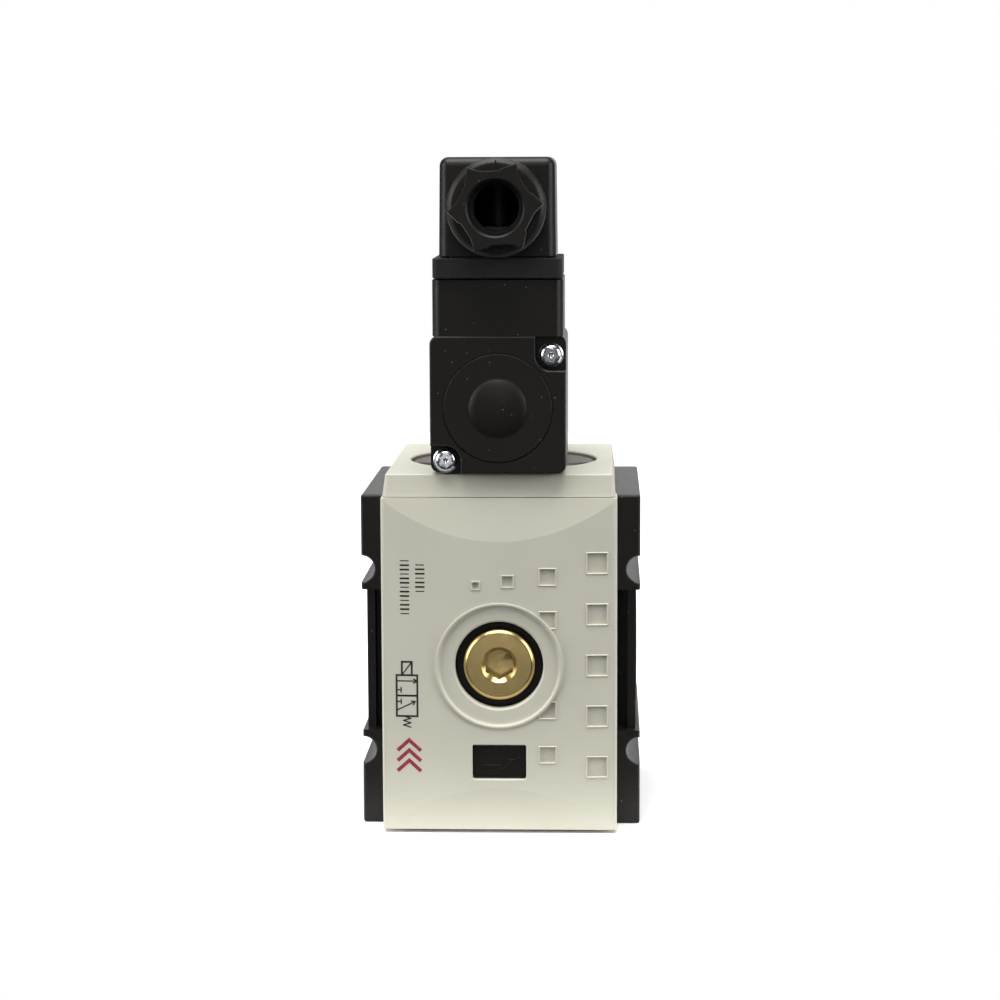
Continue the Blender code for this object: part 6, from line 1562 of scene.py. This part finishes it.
carve(gland, turned([(0.0, star_front - beyond), (6.3 * mm + beyond, star_front - beyond),
                     (5.9 * mm, star_front + 0.4 * mm), (5.9 * mm, collar_front + 0.2 * mm),
                     (cable_way, collar_front + 0.2 * mm), (cable_way, collar_rear + beyond),
                     (0.0, collar_rear + beyond)],
                    "Y", gland_axis, 0.0),
      turned([(0.0, collar_front + 0.3 * mm), (gland_thread, collar_front + 0.3 * mm),
              (gland_thread, collar_rear + beyond), (0.0, collar_rear + beyond)], "Y", gland_axis, 0.0))
fit(gland, "moulded_gland_nut", black_polyamide, "cable_nut", "black_polyamide", "gland_nut")

press_low, press_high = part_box("gland_washer")
press_radius = (press_high.x - press_low.x) / 2
fit_ring("pressed_gland_washer", "gland_washer", plain_steel, "connector", "zinc_plated_steel",
         [(5.9 * mm, press_low.y), (press_radius, press_low.y), (press_radius, press_high.y),
          (5.9 * mm, press_high.y)], gland_axis)
bush_low, bush_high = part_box("gland_seal")
bush_radius = (bush_high.x - bush_low.x) / 2
fit_ring("moulded_gland_seal", "gland_seal", nitrile, "connector", "black_rubber",
         [(4.85 * mm, bush_low.y, 0.6 * mm), (bush_radius, bush_low.y), (bush_radius, bush_high.y),
          (4.85 * mm, bush_high.y, 0.6 * mm)], gland_axis)


# ================================================================== studio
# The valve stands on plain white paper. Soft boxes hang overhead, at both sides and behind, with a
# weak one in front and a small low one that the brass plug mirrors. The room itself is dark, so
# that black faces stay black while their edges light up.
floor_mesh = bpy.data.meshes.new("floor")
floor_corners = [(-0.6, -0.08), (0.6, -0.08), (0.6, 0.8), (-0.6, 0.8)]
floor_mesh.from_pydata([(x, y, cad_low[2] - 0.02 * mm) for x, y in floor_corners], [], [(0, 1, 2, 3)])
floor = bpy.data.objects.new("floor", floor_mesh)
bpy.context.scene.collection.objects.link(floor)
paper = bpy.data.materials.new("white_paper")
paper.use_nodes = True
paper_grain = add_node(paper.node_tree, "ShaderNodeTexNoise",
                       {"Vector": add_node(paper.node_tree, "ShaderNodeTexCoord").outputs["Object"],
                        "Scale": 400.0, "Detail": 2.0})
paper_tone = add_node(paper.node_tree, "ShaderNodeMix", {0: paper_grain.outputs[0], 6: linear("FFFFFF"),
                                                         7: linear("FCFCFB")}, data_type="RGBA")
paper_surface = paper.node_tree.nodes["Principled BSDF"]
paper.node_tree.links.new(paper_tone.outputs[2], paper_surface.inputs["Base Color"])
paper_surface.inputs["Roughness"].default_value = 0.9
paper_surface.inputs["Specular IOR Level"].default_value = 0.1
floor_mesh.materials.append(paper)

world = bpy.data.worlds.new("studio")
world.use_nodes = True
bpy.context.scene.world = world
room = world.node_tree
seen = add_node(room, "ShaderNodeLightPath")
room_light = add_node(room, "ShaderNodeMix",
                      {0: seen.outputs["Is Camera Ray"], 6: (0.07, 0.07, 0.07, 1.0),
                       7: (1.0, 1.0, 1.0, 1.0)}, data_type="RGBA")
room.links.new(room_light.outputs[2], room.nodes["Background"].inputs["Color"])


def soft_light(name, place, aim, size, power):
    """A soft box that points at a place."""
    lamp = bpy.data.lights.new(name, "AREA")
    lamp.shape = "RECTANGLE"
    lamp.size, lamp.size_y = size
    lamp.energy = power
    made = bpy.data.objects.new(name, lamp)
    made.location = place
    made.rotation_euler = (Vector(aim) - Vector(place)).to_track_quat("-Z", "Y").to_euler()
    bpy.context.scene.collection.objects.link(made)
    return made


heart = (0.0, -0.03, 0.04)
soft_light("overhead", (0.0, -0.1, 0.8), heart, (0.9, 0.7), 4.5)
soft_light("left_side", (-0.8, -0.4, 0.28), heart, (0.5, 0.6), 4.8)
soft_light("right_side", (0.8, -0.4, 0.28), heart, (0.5, 0.6), 4.2)
soft_light("front_fill", (0.0, -1.1, 0.5), heart, (0.5, 0.4), 1.2)
soft_light("low_glow", (-0.02, -0.5, -0.03), (0.0, -0.045, 0.036), (0.12, 0.09), 0.036)
soft_light("rear_wall", (0.0, 0.9, 0.3), heart, (1.0, 0.8), 2.6)
day = bpy.data.lights.new("skylight", "SUN")
day.energy = 2.9
day.angle = math.radians(50)
skylight = bpy.data.objects.new("skylight", day)
skylight.rotation_euler = (math.radians(17), 0.0, math.radians(-12))
bpy.context.scene.collection.objects.link(skylight)

yaw, pitch, roll = -0.0388, 0.1282, -0.0040
ahead = Vector((math.sin(yaw) * math.cos(pitch), math.cos(yaw) * math.cos(pitch), -math.sin(pitch)))
across = Vector((math.cos(yaw), -math.sin(yaw), 0.0))
upward = across.cross(ahead)
rolled_across = math.cos(roll) * across + math.sin(roll) * upward
rolled_up = math.cos(roll) * upward - math.sin(roll) * across
lens = bpy.data.cameras.new("camera")
lens.lens = 95.99
lens.sensor_width = 36.0
lens.clip_start = 0.01
camera = bpy.data.objects.new("camera", lens)
camera.matrix_world = Matrix.Translation((0.02279, -0.64402, 0.11206)) @ Matrix(
    (rolled_across, rolled_up, -ahead)).transposed().to_4x4()
bpy.context.scene.collection.objects.link(camera)
bpy.context.scene.camera = camera
bpy.context.scene.view_settings.view_transform = "Standard"
